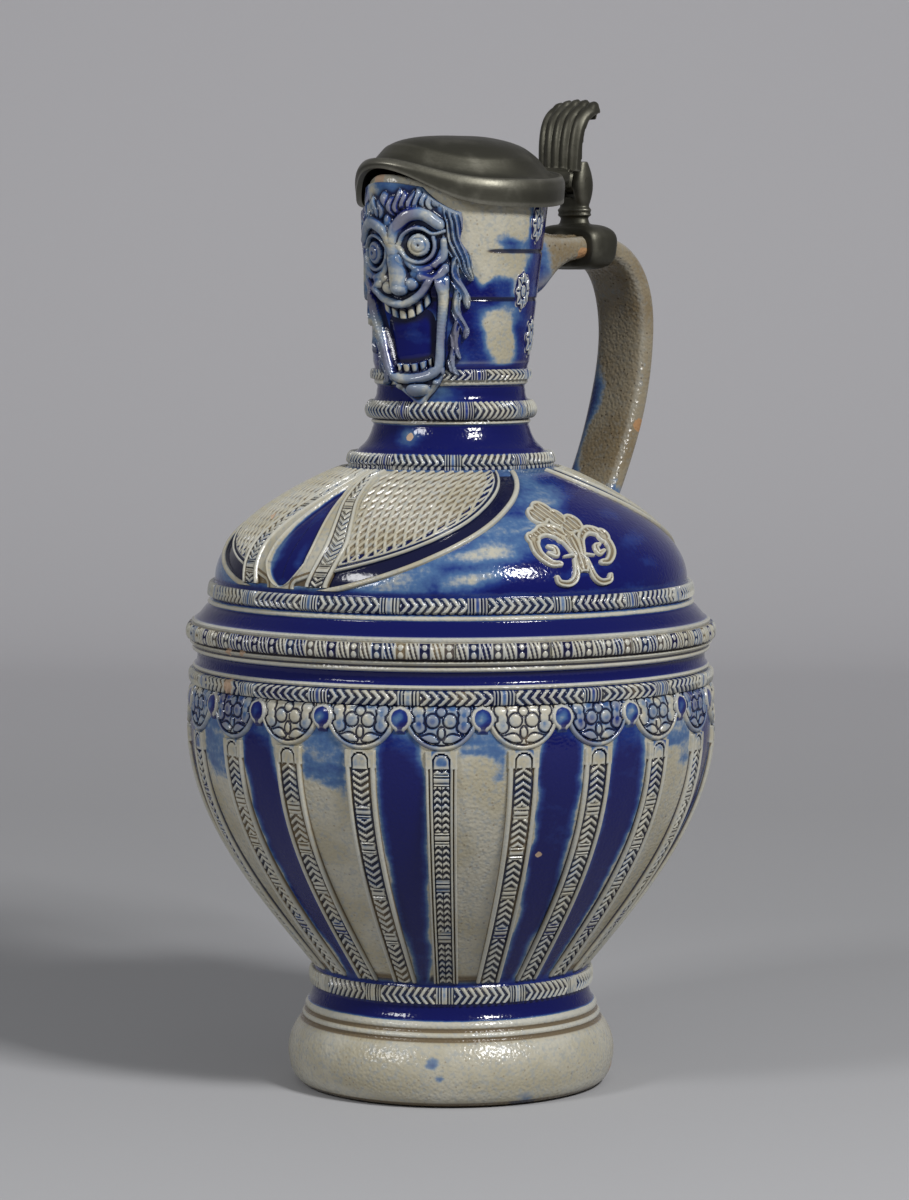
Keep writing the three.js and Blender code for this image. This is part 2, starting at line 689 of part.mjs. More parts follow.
function lidGeometry() {
  const inner = LID_INNER.map((row) => lidRing(row, 0));
  const crown = [new THREE.Vector3(0, LID_OFFSET, rimZ + LID_OUTER[0][1] - LID_WALL)];
  return skin([...LID_OUTER.map((row) => lidRing(row, 0)), ...inner, crown]);
}

// The lid without its hollow and a seat's gap larger, which cuts what is soldered to it.
function lidCutter() {
  const foot = [new THREE.Vector3(0, LID_OFFSET, rimZ)];
  return toSolid(skin([...LID_OUTER.map((row) => lidRing(row, SEAT)), foot]));
}

// Hinge

// A cylinder along X through the hinge axis.
function hingeRound(radius, length, sides) {
  const geometry = new THREE.CylinderGeometry(radius, radius, length, sides);
  geometry.rotateZ(Math.PI / 2);
  geometry.translate(0, hingeY, hingeZ);
  return toSolid(geometry);
}

const cheekInner = KNUCKLE_WIDTH / 2 + CHEEK_GAP;
const cheekOuter = cheekInner + CHEEK_THICKNESS;
const CHEEK_TOP = 0.36;
const cheekSweep = CHEEK_TOP * CHEEK_LENGTH + 1.2;

// A leaf-shaped cheek, bellied outwards, with its point up.
function cheekSolid(hand) {
  const levels = [-0.62, -0.5, -0.3, -0.05, 0.15, 0.28, CHEEK_TOP];
  const rings = levels.map((level) => {
    const width = (CHEEK_DEPTH / 2) * Math.cos(clamp01(Math.abs(level + 0.05) / 0.55) * 1.15);
    const belly = mix(0.55, 1, Math.cos(clamp01(Math.abs(level + 0.1) / 0.5) * 1.3));
    const outer = cheekInner + CHEEK_THICKNESS * belly;
    const z = hingeZ + level * CHEEK_LENGTH;
    const outline = [[cheekInner, -1], [outer, -0.7], [outer, 0.7], [cheekInner, 1]];
    return outline.map(([x, y]) => new THREE.Vector3(hand * x, hingeY + y * width, z));
  });
  return toSolid(skin(rings));
}

// The post between the band and the cheeks, with a collar round its waist.
function postSolid() {
  const bandTop = handleTopZ + HANDLE_THICKNESS / 2;
  const collar = hingeZ - 0.56 * CHEEK_LENGTH;
  const levels = [
    [bandTop - 1, 1.35, 8.5], [bandTop + 1.4, 1.15, 6.2], [mix(bandTop, collar, 0.72), 0.86, 3.8],
    [collar - 0.9, 1.02, 4.5], [collar + 0.9, 1.02, 4.5], [collar + 1.8, 0.94, 3.9],
    [hingeZ - KNUCKLE_RADIUS - 1, 0.94, 3.6],
  ];
  return toSolid(skin(levels.map(([z, wide, deep]) =>
    range(8).map((i) => {
      const turn = ((i + 0.5) * FULL_TURN) / 8;
      return new THREE.Vector3(wide * cheekOuter * Math.cos(turn), hingeY + deep * Math.sin(turn), z);
    }))));
}

// The rounded band round the strap.
function bandSolid(curve) {
  const half = BAND_WIDTH / 2 / curve.getLength();
  return toSolid(skin([-1, -0.8, -0.35, 0.35, 0.8, 1].map((place) => {
    const swell = Math.sqrt(1 - 0.55 * place ** 2);
    return strapRing(curve, bandShare(curve) + place * half, SEAT + BAND_WALL * swell);
  })));
}

// Share of the strap's length where the band sits, under the hinge.
function bandShare(curve) {
  const samples = range(201).map((i) => i / 200);
  return samples.find((share) => curve.getPoint(share).y >= hingeY + 0.5);
}

function mountGeometry() {
  const curve = handleCurve();
  const whole = bandSolid(curve).add(postSolid()).add(cheekSolid(1)).add(cheekSolid(-1));
  const hole = hingeRound(PIN_RADIUS + PIN_GAP, 4 * cheekOuter, PIN_SIDES);
  const slot = hingeRound(KNUCKLE_RADIUS + SLOT_GAP, KNUCKLE_WIDTH + 2 * CHEEK_GAP, SLOT_SIDES);
  return toGeometry(whole.subtract(toSolid(strap(SEAT + 0.1))).subtract(hole).subtract(slot));
}

const pinGeometry = () => {
  const geometry = new THREE.CylinderGeometry(PIN_RADIUS, PIN_RADIUS, 2 * (cheekOuter - PIN_GAP), PIN_SIDES);
  geometry.rotateZ(Math.PI / 2);
  geometry.translate(0, hingeY, hingeZ);
  return geometry;
};

// Thumbpiece: a ribbed shell that curls back, on a tongue that ends in the hinge knuckle

const shellPlace = (share) => {
  const lean = 1.15 * share ** 2.2;
  const y = hingeY - 9.5 + 9.5 * share ** 3 + 2 * lean;
  return new THREE.Vector3(0, y, hingeZ + 3.5 + (SHELL_HEIGHT + 2.5) * Math.sin((share * Math.PI) / 2.15));
};

function shellSolid() {
  const spans = 3 * SHELL_LOBES;
  const rings = [0, 0.2, 0.42, 0.64, 0.82, 0.94, 1].map((share) => {
    const point = shellPlace(share);
    const before = shellPlace(Math.max(0, share - 0.02));
    const ahead = shellPlace(Math.min(1, share + 0.02)).sub(before).normalize();
    const out = new THREE.Vector3(0, -ahead.z, ahead.y);
    const half = (SHELL_WIDTH / 2) * mix(0.84, 1, share);
    const thick = mix(2.6, 1.5, share);
    const face = range(spans + 1).map((i) => {
      const x = (2 * i) / spans - 1;
      const lobe = Math.abs(Math.sin((SHELL_LOBES * Math.PI * i) / spans)) * 1.5 * mix(0.5, 1, share);
      return [x, thick / 2 + lobe - 1.6 * x ** 2];
    });
    const back = [1, 0.5, 0, -0.5, -1].map((x) => [x, -thick / 2 - 1.6 * x ** 2]);
    return [...face, ...back].map(([x, depth]) =>
      new THREE.Vector3(x * half, 0, 0).add(point).addScaledVector(out, depth));
  });
  return toSolid(skin(rings));
}

// The tongue from the lid's rear edge to the knuckle, wide at the lid.
function tongueSolid() {
  const lidRear = LID_OFFSET + lidRadius;
  const sections = [
    [lidRear - 9, 11, 4.5, 12.5], [lidRear - 1, 10, 2, 10.6], [lidRear + 6, 9, 2.4, 9.8],
    [hingeY - cheekSweep - 2.4, 8, 3.2, 9.6], [hingeY - cheekSweep, KNUCKLE_WIDTH / 2, 2.6, 9.4],
    [hingeY, KNUCKLE_WIDTH / 2, 1.6, 8.6],
  ];
  return toSolid(skin(sections.map(([y, half, low, high]) => {
    const under = [[-1, low + 0.8], [-0.75, low], [0.75, low], [1, low + 0.8]];
    const over = [[0.9, high - 1], [0.5, high], [-0.5, high], [-0.9, high - 1]];
    return [...under, ...over].map(([x, z]) => new THREE.Vector3(x * half, y, rimZ + z));
  })));
}

function thumbpieceGeometry() {
  const knuckle = hingeRound(KNUCKLE_RADIUS, KNUCKLE_WIDTH, 18);
  const hole = hingeRound(PIN_RADIUS + PIN_GAP, 2 * KNUCKLE_WIDTH, PIN_SIDES);
  const whole = tongueSolid().add(shellSolid()).add(knuckle);
  return toGeometry(whole.subtract(lidCutter()).subtract(hole));
}

// Materials and the assembly

const stoneware = () => new THREE.MeshStandardMaterial({ color: 0x9c9585, roughness: 0.38, metalness: 0 });
const blueware = () => new THREE.MeshStandardMaterial({ color: 0x6f7da3, roughness: 0.32, metalness: 0 });
const pewter = () => new THREE.MeshStandardMaterial({ color: 0x4a463d, roughness: 0.46, metalness: 0.85 });

const jug = new THREE.Group();
const lidGroup = new THREE.Group();
jug.add(lidGroup);

function addPiece(group, name, geometry, material) {
  const mesh = new THREE.Mesh(geometry, material());
  mesh.name = name;
  group.add(mesh);
}

const [bodyGeometry, neckGeometry] = vesselGeometries();
addPiece(jug, 'jug_body', bodyGeometry, stoneware);
addPiece(jug, 'jug_neck', neckGeometry, stoneware);
addPiece(jug, 'handle', luted(strap(0)), stoneware);
addPiece(jug, 'mask', maskGeometry(), blueware);

range(RIB_COUNT).forEach((i) => {
  const angle = RIB_PHASE + (i * FULL_TURN) / RIB_COUNT;
  const number = String(i + 1).padStart(2, '0');
  addPiece(jug, `belly_rib_${number}`, ribGeometry(angle), stoneware);
  addPiece(jug, `lunette_${number}`, lunetteGeometry(angle), blueware);
});

const handleSpread = HANDLE_WIDTH / 2 - 4;
[[0, 0], [Math.PI, handleSpread]].forEach(([middle, spread], field) => {
  [-1, 1].forEach((hand, i) => {
    addPiece(jug, `shoulder_strip_${2 * field + i + 1}`, stripGeometry(middle, hand, spread), stoneware);
  });
});

addPiece(jug, 'shoulder_sprig_right', sprigGeometry(SPRIG_ANGLE), stoneware);
addPiece(jug, 'shoulder_sprig_left', sprigGeometry(-SPRIG_ANGLE), stoneware);

const rosettePlaces = [[99, 27], [117, 10.5], [-99, 27], [-117, 10.5]];
rosettePlaces.forEach(([turn, up], i) => {
  addPiece(jug, `neck_rosette_${i + 1}`, rosetteGeometry(turn * DEGREE, neckZ + up), blueware);
});

addPiece(jug, 'handle_mount', mountGeometry(), pewter);
addPiece(jug, 'hinge_pin', pinGeometry(), pewter);
addPiece(lidGroup, 'pewter_lid', lidGeometry(), pewter);
addPiece(lidGroup, 'thumbpiece', thumbpieceGeometry(), pewter);

export default jug;
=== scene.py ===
"""A salt-glazed stoneware jug with a moulded relief, a mask on its neck and a hinged pewter lid.

Sizes are in millimetres until a mesh is laid, which is in metres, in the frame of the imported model.
Angles run from the spout, at -Y, towards +X. Heights run up from the base.
"""

import logging
import math
from dataclasses import dataclass
from enum import Enum
from functools import partial
from typing import Callable, ClassVar, Sequence

import bpy
import numpy as np
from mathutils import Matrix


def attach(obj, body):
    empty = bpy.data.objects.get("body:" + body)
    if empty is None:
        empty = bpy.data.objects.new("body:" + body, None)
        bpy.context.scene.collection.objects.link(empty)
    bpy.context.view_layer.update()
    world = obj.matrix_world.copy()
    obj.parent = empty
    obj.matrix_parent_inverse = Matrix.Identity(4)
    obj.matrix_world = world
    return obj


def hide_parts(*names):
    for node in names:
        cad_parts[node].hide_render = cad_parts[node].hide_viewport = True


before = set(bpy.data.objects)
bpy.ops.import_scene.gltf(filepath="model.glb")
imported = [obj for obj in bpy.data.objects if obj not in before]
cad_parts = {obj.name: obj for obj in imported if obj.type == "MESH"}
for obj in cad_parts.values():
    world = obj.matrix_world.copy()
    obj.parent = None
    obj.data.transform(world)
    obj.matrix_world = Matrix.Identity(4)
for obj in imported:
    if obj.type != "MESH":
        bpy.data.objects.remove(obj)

Array = np.ndarray
Colour = tuple[float, float, float]
Rows = Sequence[tuple[float, ...]]
Values = dict[str, Array]
Piece = bpy.types.Object
Material = bpy.types.Material
MM = 0.001
DEGREE = math.pi / 180
FULL_TURN = 2 * math.pi
FAR = 1e9
LOG = logging.getLogger("jug")


class Body(Enum):
    """The bodies of the model that a piece can ride on."""

    JUG = "jug"
    LID = "lid"


class Slot(Enum):
    """Names of three material slots."""

    STONEWARE = "stoneware"
    COBALT = "cobalt_relief"
    PEWTER = "pewter"


def mix(low: Array | float, high: Array | float, share: Array | float) -> Array | float:
    """A value at a share of the way between two others."""
    return low + (high - low) * share


def ease(low: float, high: float, x: Array | float) -> Array:
    """0 at low, 1 at high, with a soft start and end; low may lie above high."""
    share = np.clip((x - low) / (high - low), 0, 1)
    return share * share * (3 - 2 * share)


def bell(x: Array | float, spread: float) -> Array:
    """1 at 0, falling off softly over the spread."""
    return np.exp(-((np.asarray(x) / spread) ** 2))


def roll(x: Array, half: Array | float) -> Array:
    """Section of a round ridge: 1 on its line, 0 a half width away."""
    return np.sqrt(np.clip(1 - (x / half) ** 2, 0, 1))


def wrap(angle: Array | float) -> Array:
    """An angle brought between -180 and 180 degrees, in radians."""
    return np.arctan2(np.sin(angle), np.cos(angle))


def through(points: Sequence[tuple[float, float]], x: Array) -> Array:
    """A smooth curve through points, level with its neighbours, as a function of the first value.

    Args:
        points: Pairs with rising first values.
        x: Where the curve is read.

    Returns:
        The curve's second value at each x.
    """
    at, value = np.array(points, float).T
    slope = np.gradient(value, at)
    i = np.clip(np.searchsorted(at, x) - 1, 0, len(at) - 2)
    step = at[i + 1] - at[i]
    t = np.clip((x - at[i]) / step, 0, 1)
    return ((2 * t**3 - 3 * t**2 + 1) * value[i] + (t**3 - 2 * t**2 + t) * step * slope[i]
            + (3 * t**2 - 2 * t**3) * value[i + 1] + (t**3 - t**2) * step * slope[i + 1])


def through_each(knots: Array, columns: Array, x: Array) -> list[Array]:
    """Smooth curves through each column of values over the same knots."""
    return [through(list(zip(knots, column)), x) for column in columns]


def sheet(rows: tuple[float, float, int], columns: tuple[float, float, int]) -> list[Array]:
    """The two coordinates of a grid, of which one rises row by row; each has its ends and its count."""
    return np.meshgrid(np.linspace(*rows), np.linspace(*columns), indexing="ij")


def soften(values: Array, reach: float, axis: int, closed: bool = False) -> Array:
    """Blurs an array along one axis.

    Args:
        values: The array.
        reach: Spread of the blur, in steps of the array.
        axis: The axis.
        closed: Whether the axis runs round and meets itself.

    Returns:
        The blurred array.
    """
    half = max(1, int(3 * reach))
    weights = bell(np.arange(-half, half + 1), reach * math.sqrt(2))
    weights = weights / weights.sum()
    padding = [(half, half) if i == axis else (0, 0) for i in range(values.ndim)]
    padded = np.pad(values, padding, mode="wrap" if closed else "edge")
    return np.apply_along_axis(lambda line: np.convolve(line, weights, "valid"), axis, padded)


def ripple(x: Array, y: Array, size: float, seed: int) -> Array:
    """A soft random pattern.

    Args:
        x: First coordinate of the places.
        y: Second coordinate.
        size: About how long its waves are.
        seed: Number that draws the pattern.

    Returns:
        Values between about -1 and 1.
    """
    draw = np.random.default_rng(seed)
    total = np.zeros(np.broadcast(x, y).shape)
    for _ in range(6):
        turn, start = draw.uniform(0, FULL_TURN, 2)
        pace = FULL_TURN / (size * draw.uniform(0.7, 1.6))
        total = total + np.sin(pace * (x * math.cos(turn) + y * math.sin(turn)) + start)
    return total / 3


def squarish(turn: Array, across: float, up: float) -> tuple[Array, Array]:
    """Both coordinates of a round section whose corners are filled out; lower powers make it squarer."""
    return (np.sign(np.cos(turn)) * np.abs(np.cos(turn)) ** across,
            np.sign(np.sin(turn)) * np.abs(np.sin(turn)) ** up)


def full_round(count: int) -> Array:
    """Angles all the way round, without the last."""
    return np.linspace(0, FULL_TURN, count, endpoint=False)


def along_path(points: Sequence[tuple[float, float]], x: Array, y: Array,
               steps: int = 60) -> tuple[Array, Array]:
    """Distance from a curved path, and the share of the path where the nearest point lies.

    Args:
        points: The path's corners, which a smooth curve runs through.
        x: First coordinate of the places.
        y: Second coordinate of the places.
        steps: Number of samples of the path.

    Returns:
        The distance and the share at each place.
    """
    share = np.linspace(0, 1, steps)
    path_x, path_y = through_each(np.linspace(0, 1, len(points)), np.array(points, float).T, share)
    best = np.full(np.shape(x), FAR)
    where = np.zeros(np.shape(x))
    for k in range(steps):
        gap = (x - path_x[k]) ** 2 + (y - path_y[k]) ** 2
        nearer = gap < best
        best = np.where(nearer, gap, best)
        where = np.where(nearer, share[k], where)
    return np.sqrt(best), where


# Meshes


def quads(index: Array) -> Array:
    """Quads of a grid of point numbers, which face out where rows rise and columns run to the right."""
    return np.stack([index[:-1, :-1], index[:-1, 1:], index[1:, 1:], index[1:, :-1]], -1).reshape(-1, 4)


def grid_faces(rows: int, columns: int, close_columns: bool = False) -> Array:
    """Quads of a grid of points laid row by row."""
    index = np.arange(rows * columns).reshape(rows, columns)
    if close_columns:
        index = np.hstack([index, index[:, :1]])
    return quads(index)


def add_object(name: str, data: bpy.types.ID) -> Piece:
    """Adds an object with its mesh, camera or lamp to the scene."""
    piece = bpy.data.objects.new(name, data)
    bpy.context.scene.collection.objects.link(piece)
    return piece


def store(mesh: bpy.types.Mesh, label: str, value: Array) -> None:
    """Stores a value on each point of a mesh."""
    layer = mesh.attributes.new(label, "FLOAT", "POINT")
    layer.data.foreach_set("value", np.ascontiguousarray(value, np.float32).ravel())


def lay_mesh(name: str, points: Array, faces: Sequence[Array], values: Values | None = None,
             crease: float = 60) -> Piece:
    """Makes an object in metres from points in millimetres.

    Args:
        name: The object's name.
        points: The points, in the last axis.
        faces: Arrays of faces, each with its own number of corners.
        values: Values of each point, by attribute name.
        crease: Angle in degrees past which an edge is sharp.

    Returns:
        The object, linked to the scene.
    """
    mesh = bpy.data.meshes.new(name)
    flat = np.ascontiguousarray(points.reshape(-1, 3) * MM, np.float32)
    mesh.vertices.add(len(flat))
    mesh.vertices.foreach_set("co", flat.ravel())
    corners = np.concatenate([face.ravel() for face in faces]).astype(np.int32)
    totals = np.concatenate([np.full(len(face), face.shape[1]) for face in faces])
    mesh.loops.add(len(corners))
    mesh.loops.foreach_set("vertex_index", corners)
    mesh.polygons.add(len(totals))
    mesh.polygons.foreach_set("loop_start", np.concatenate([[0], np.cumsum(totals)[:-1]]).astype(np.int32))
    mesh.polygons.foreach_set("use_smooth", np.ones(len(totals), bool))
    for label, value in (values or {}).items():
        store(mesh, label, value)
    mesh.update(calc_edges=True)
    mesh.validate()
    mesh.set_sharp_from_angle(angle=crease * DEGREE)
    return add_object(name, mesh)


def lay_skin(name: str, rings: Array, poles: Sequence | None = None, values: Values | None = None,
             crease: float = 60) -> Piece:
    """Makes a closed surface from rings that run to the right as they rise, with a pole at each end.

    Args:
        name: The object's name.
        rings: The rings' points, ring by ring.
        poles: The poles before the first ring and after the last, or None for the middles of those rings.
        values: Values of each ring point, by attribute name.
        crease: Angle in degrees past which an edge is sharp.

    Returns:
        The object.
    """
    rows, columns = rings.shape[:2]
    count = rows * columns
    here = np.arange(columns)
    ahead = (here + 1) % columns
    top = count - columns
    foot = np.stack([ahead, here, np.full(columns, count)], -1)
    head = np.stack([top + here, top + ahead, np.full(columns, count + 1)], -1)
    points = np.vstack([rings.reshape(-1, 3), poles or [rings[0].mean(0), rings[-1].mean(0)]])
    spread = {label: np.append(value.ravel(), [value[0].mean(), value[-1].mean()])
              for label, value in (values or {}).items()}
    return lay_mesh(name, points, [grid_faces(rows, columns, True), foot, head], spread, crease)


def off_line(line: Sequence[Array], along: Sequence[Array], x: Array, reach: Array) -> Array:
    """Rings of points round a line in Y and Z.

    Args:
        line: The line's places.
        along: Its directions, of any length.
        x: How far each point lies sideways.
        reach: How far each point lies from the line, square to it.

    Returns:
        The points, ring by ring.
    """
    size = np.hypot(*along)
    y, z, along_y, along_z = (value[:, None] for value in (*line, along[0] / size, along[1] / size))
    return np.stack([x, y - along_z * reach, z + along_y * reach], -1)


def settle(piece: Piece, crease: float = 60) -> Piece:
    """Turns a piece's modifiers into its mesh and takes them off.

    Args:
        piece: The piece.
        crease: Angle in degrees past which an edge is sharp.

    Returns:
        The piece.
    """
    shaped = bpy.data.meshes.new_from_object(piece.evaluated_get(bpy.context.evaluated_depsgraph_get()))
    piece.modifiers.clear()
    piece.data = shaped
    shaped.polygons.foreach_set("use_smooth", np.ones(len(shaped.polygons), bool))
    shaped.set_sharp_from_angle(angle=crease * DEGREE)
    return piece


def cast(name: str, parts: Sequence[Piece], grain: float, rounds: int) -> Piece:
    """Melts overlapping closed parts into one cast piece.

    Args:
        name: The piece's name.
        parts: The parts, which are used up.
        grain: Size in millimetres of the cells that the parts are rebuilt from.
        rounds: How many times the surface is smoothed.

    Returns:
        The piece.
    """
    with bpy.context.temp_override(active_object=parts[0], selected_editable_objects=list(parts)):
        bpy.ops.object.join()
    piece = parts[0]
    piece.name = name
    melt = piece.modifiers.new("melt", "REMESH")
    melt.mode = "VOXEL"
    melt.voxel_size = grain * MM
    smooth = piece.modifiers.new("smooth", "SMOOTH")
    smooth.factor = 0.5
    smooth.iterations = rounds
    return settle(piece)


def dress(piece: Piece, material: Material) -> None:
    """Gives a piece one material."""
    piece.data.materials.clear()
    piece.data.materials.append(material)


def finish_piece(piece: Piece, body: Body, material: Material,
                 nodes: Sequence[str] = ()) -> Piece:
    """Dresses a piece, hides the nodes that it stands for, and lets it ride on its body.

    Args:
        piece: The piece.
        body: The body that it moves with.
        material: Its material.
        nodes: The nodes that it replaces.

    Returns:
        The piece.
    """
    dress(piece, material)
    if nodes:
        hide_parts(*nodes)
    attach(piece, body.value)
    LOG.info("%s: %d faces", piece.name, len(piece.data.polygons))
    return piece


# Shaders


class Wire:
    """A node's socket that takes part in arithmetic; an expression adds its Math nodes."""

    def __init__(self, maker: "NodeMaker", socket: bpy.types.NodeSocket) -> None:
        """Keeps the socket and the maker of its tree."""
        self.maker = maker
        self.socket = socket

    def reckon(self, operation: str, first: "Wire | float", second: "Wire | float") -> "Wire":
        """The result of one Math node."""
        return self.maker.wire("ShaderNodeMath", {"operation": operation}, {0: first, 1: second})

    def __add__(self, other: "Wire | float") -> "Wire":
        """Sum."""
        return self.reckon("ADD", self, other)

    def __radd__(self, other: float) -> "Wire":
        """Sum with a number first."""
        return self.reckon("ADD", other, self)

    def __sub__(self, other: "Wire | float") -> "Wire":
        """Difference."""
        return self.reckon("SUBTRACT", self, other)

    def __rsub__(self, other: float) -> "Wire":
        """Difference from a number."""
        return self.reckon("SUBTRACT", other, self)

    def __mul__(self, other: "Wire | float") -> "Wire":
        """Product."""
        return self.reckon("MULTIPLY", self, other)

    def __rmul__(self, other: float) -> "Wire":
        """Product with a number first."""
        return self.reckon("MULTIPLY", other, self)


class NodeMaker:
    """A node tree with one way to add nodes."""

    tree: bpy.types.NodeTree

    def node(self, kind: str, settings: dict, inputs: dict) -> bpy.types.Node:
        """Adds a node.

        Args:
            kind: The node's type.
            settings: Its own properties, set first; "stops" holds a ramp's places and colours.
            inputs: Values, sockets or wires of its sockets, by name or number.

        Returns:
            The node.
        """
        made = self.tree.nodes.new(kind)
        for label, value in settings.items():
            if label == "stops":
                self.set_stops(made.color_ramp, value)
            else:
                setattr(made, label, value)
        for label, value in inputs.items():
            source = value.socket if isinstance(value, Wire) else value
            if isinstance(source, bpy.types.NodeSocket):
                self.tree.links.new(source, made.inputs[label])
            else:
                made.inputs[label].default_value = source
        return made

    def wire(self, kind: str, settings: dict, inputs: dict, output: str | int = 0) -> Wire:
        """Adds a node and gives one of its outputs."""
        return Wire(self, self.node(kind, settings, inputs).outputs[output])

    @staticmethod
    def set_stops(ramp: bpy.types.ColorRamp, stops: Sequence[tuple[float, Colour]]) -> None:
        """Gives a colour ramp its stops."""
        while len(ramp.elements) < len(stops):
            ramp.elements.new(1.0)
        for element, (place, colour) in zip(ramp.elements, stops):
            element.position = place
            element.color = (*colour, 1.0)


class Shader(NodeMaker):
    """A material's node tree, built by expressions."""

    def __init__(self, name: str) -> None:
        """Starts a material with nothing but the place on the object."""
        self.material = bpy.data.materials.new(name)
        self.material.use_nodes = True
        self.tree = self.material.node_tree
        self.tree.nodes.clear()
        self.spot = self.wire("ShaderNodeTexCoord", {}, {}, "Object")

    def value(self, name: str) -> Wire:
        """A value stored on the piece's points."""
        return self.wire("ShaderNodeAttribute", {"attribute_name": name}, {}, "Fac")

    def stretched(self, across: float, up: float) -> Wire:
        """The place on the object, with its sides and its height scaled."""
        return self.wire("ShaderNodeMapping", {}, {"Vector": self.spot, "Scale": (across, across, up)})

    def noise(self, size: float, detail: float = 2.0, place: Wire | None = None) -> Wire:
        """Cloudy noise of a size in millimetres, about 0 to 1."""
        inputs = {"Vector": place or self.spot, "Scale": 1 / (size * MM), "Detail": detail}
        return self.wire("ShaderNodeTexNoise", {}, inputs, "Fac")

    def cells(self, size: float, feature: str = "F1") -> bpy.types.Node:
        """Cells of a size in millimetres."""
        inputs = {"Vector": self.spot, "Scale": 1 / (size * MM)}
        return self.node("ShaderNodeTexVoronoi", {"feature": feature}, inputs)

    def ease(self, low: float, high: float, x: Wire) -> Wire:
        """0 at low and 1 at high, with a soft start and end; low may lie above high."""
        rising = float(low < high)
        inputs = {"Value": x, "From Min": min(low, high), "From Max": max(low, high),
                  "To Min": 1.0 - rising, "To Max": rising}
        return self.wire("ShaderNodeMapRange", {"interpolation_type": "SMOOTHSTEP"}, inputs, "Result")

    def blend(self, share: Wire | float, first: Wire | Colour, second: Wire | Colour) -> Wire:
        """A colour between two others."""
        ends = (end if isinstance(end, Wire) else (*end, 1.0) for end in (first, second))
        return self.wire("ShaderNodeMix", {"data_type": "RGBA"}, dict(zip((0, 6, 7), (share, *ends))), 2)

    def bump(self, height: Wire, depth: float) -> Wire:
        """A normal from a height; its depth is in millimetres."""
        return self.wire("ShaderNodeBump", {}, {"Height": height, "Distance": depth * MM}, "Normal")

    def finish(self, surface: Wire) -> Material:
        """Ends the material in a surface shader."""
        self.node("ShaderNodeOutputMaterial", {}, {"Surface": surface})
        return self.material

    def close(self, settings: dict) -> Material:
        """Ends the material in a Principled shader with these inputs."""
        return self.finish(self.wire("ShaderNodeBsdfPrincipled", {}, settings))


@dataclass(frozen=True)
class Chip:
    """A place where the glaze has flaked off down to the tan body."""

    place: tuple[float, float, float]
    size: float


def chips_at(*rows: tuple[float, float, float, float]) -> tuple[Chip, ...]:
    """Chips from their places and sizes."""
    return tuple(Chip(row[:3], row[3]) for row in rows)


BODY_CHIPS = chips_at((-19.3, -92.3, 162.0, 2.1), (-11, -93, 161.8, 1.7), (-18.8, -91.9, 149.6, 2.4),
                      (47.8, 33.7, 5.5, 2.6), (76.7, -35.2, 92.9, 1.7), (7.2, -28.4, 235.3, 1.5),
                      (-2, -35.3, 326.8, 3.2))
RELIEF_CHIPS = chips_at((-16.5, -93.8, 161.5, 1.8), (-18.8, -91.9, 149.0, 3.2), (0.1, -51.9, 46.8, 1.7),
                        (-24.2, -64.8, 207.1, 1.8))
HANDLE_CHIPS = chips_at((12.3, 88.6, 236.5, 2.8), (12.3, 57.5, 300, 3.2), (12.5, 64, 296, 1.8))


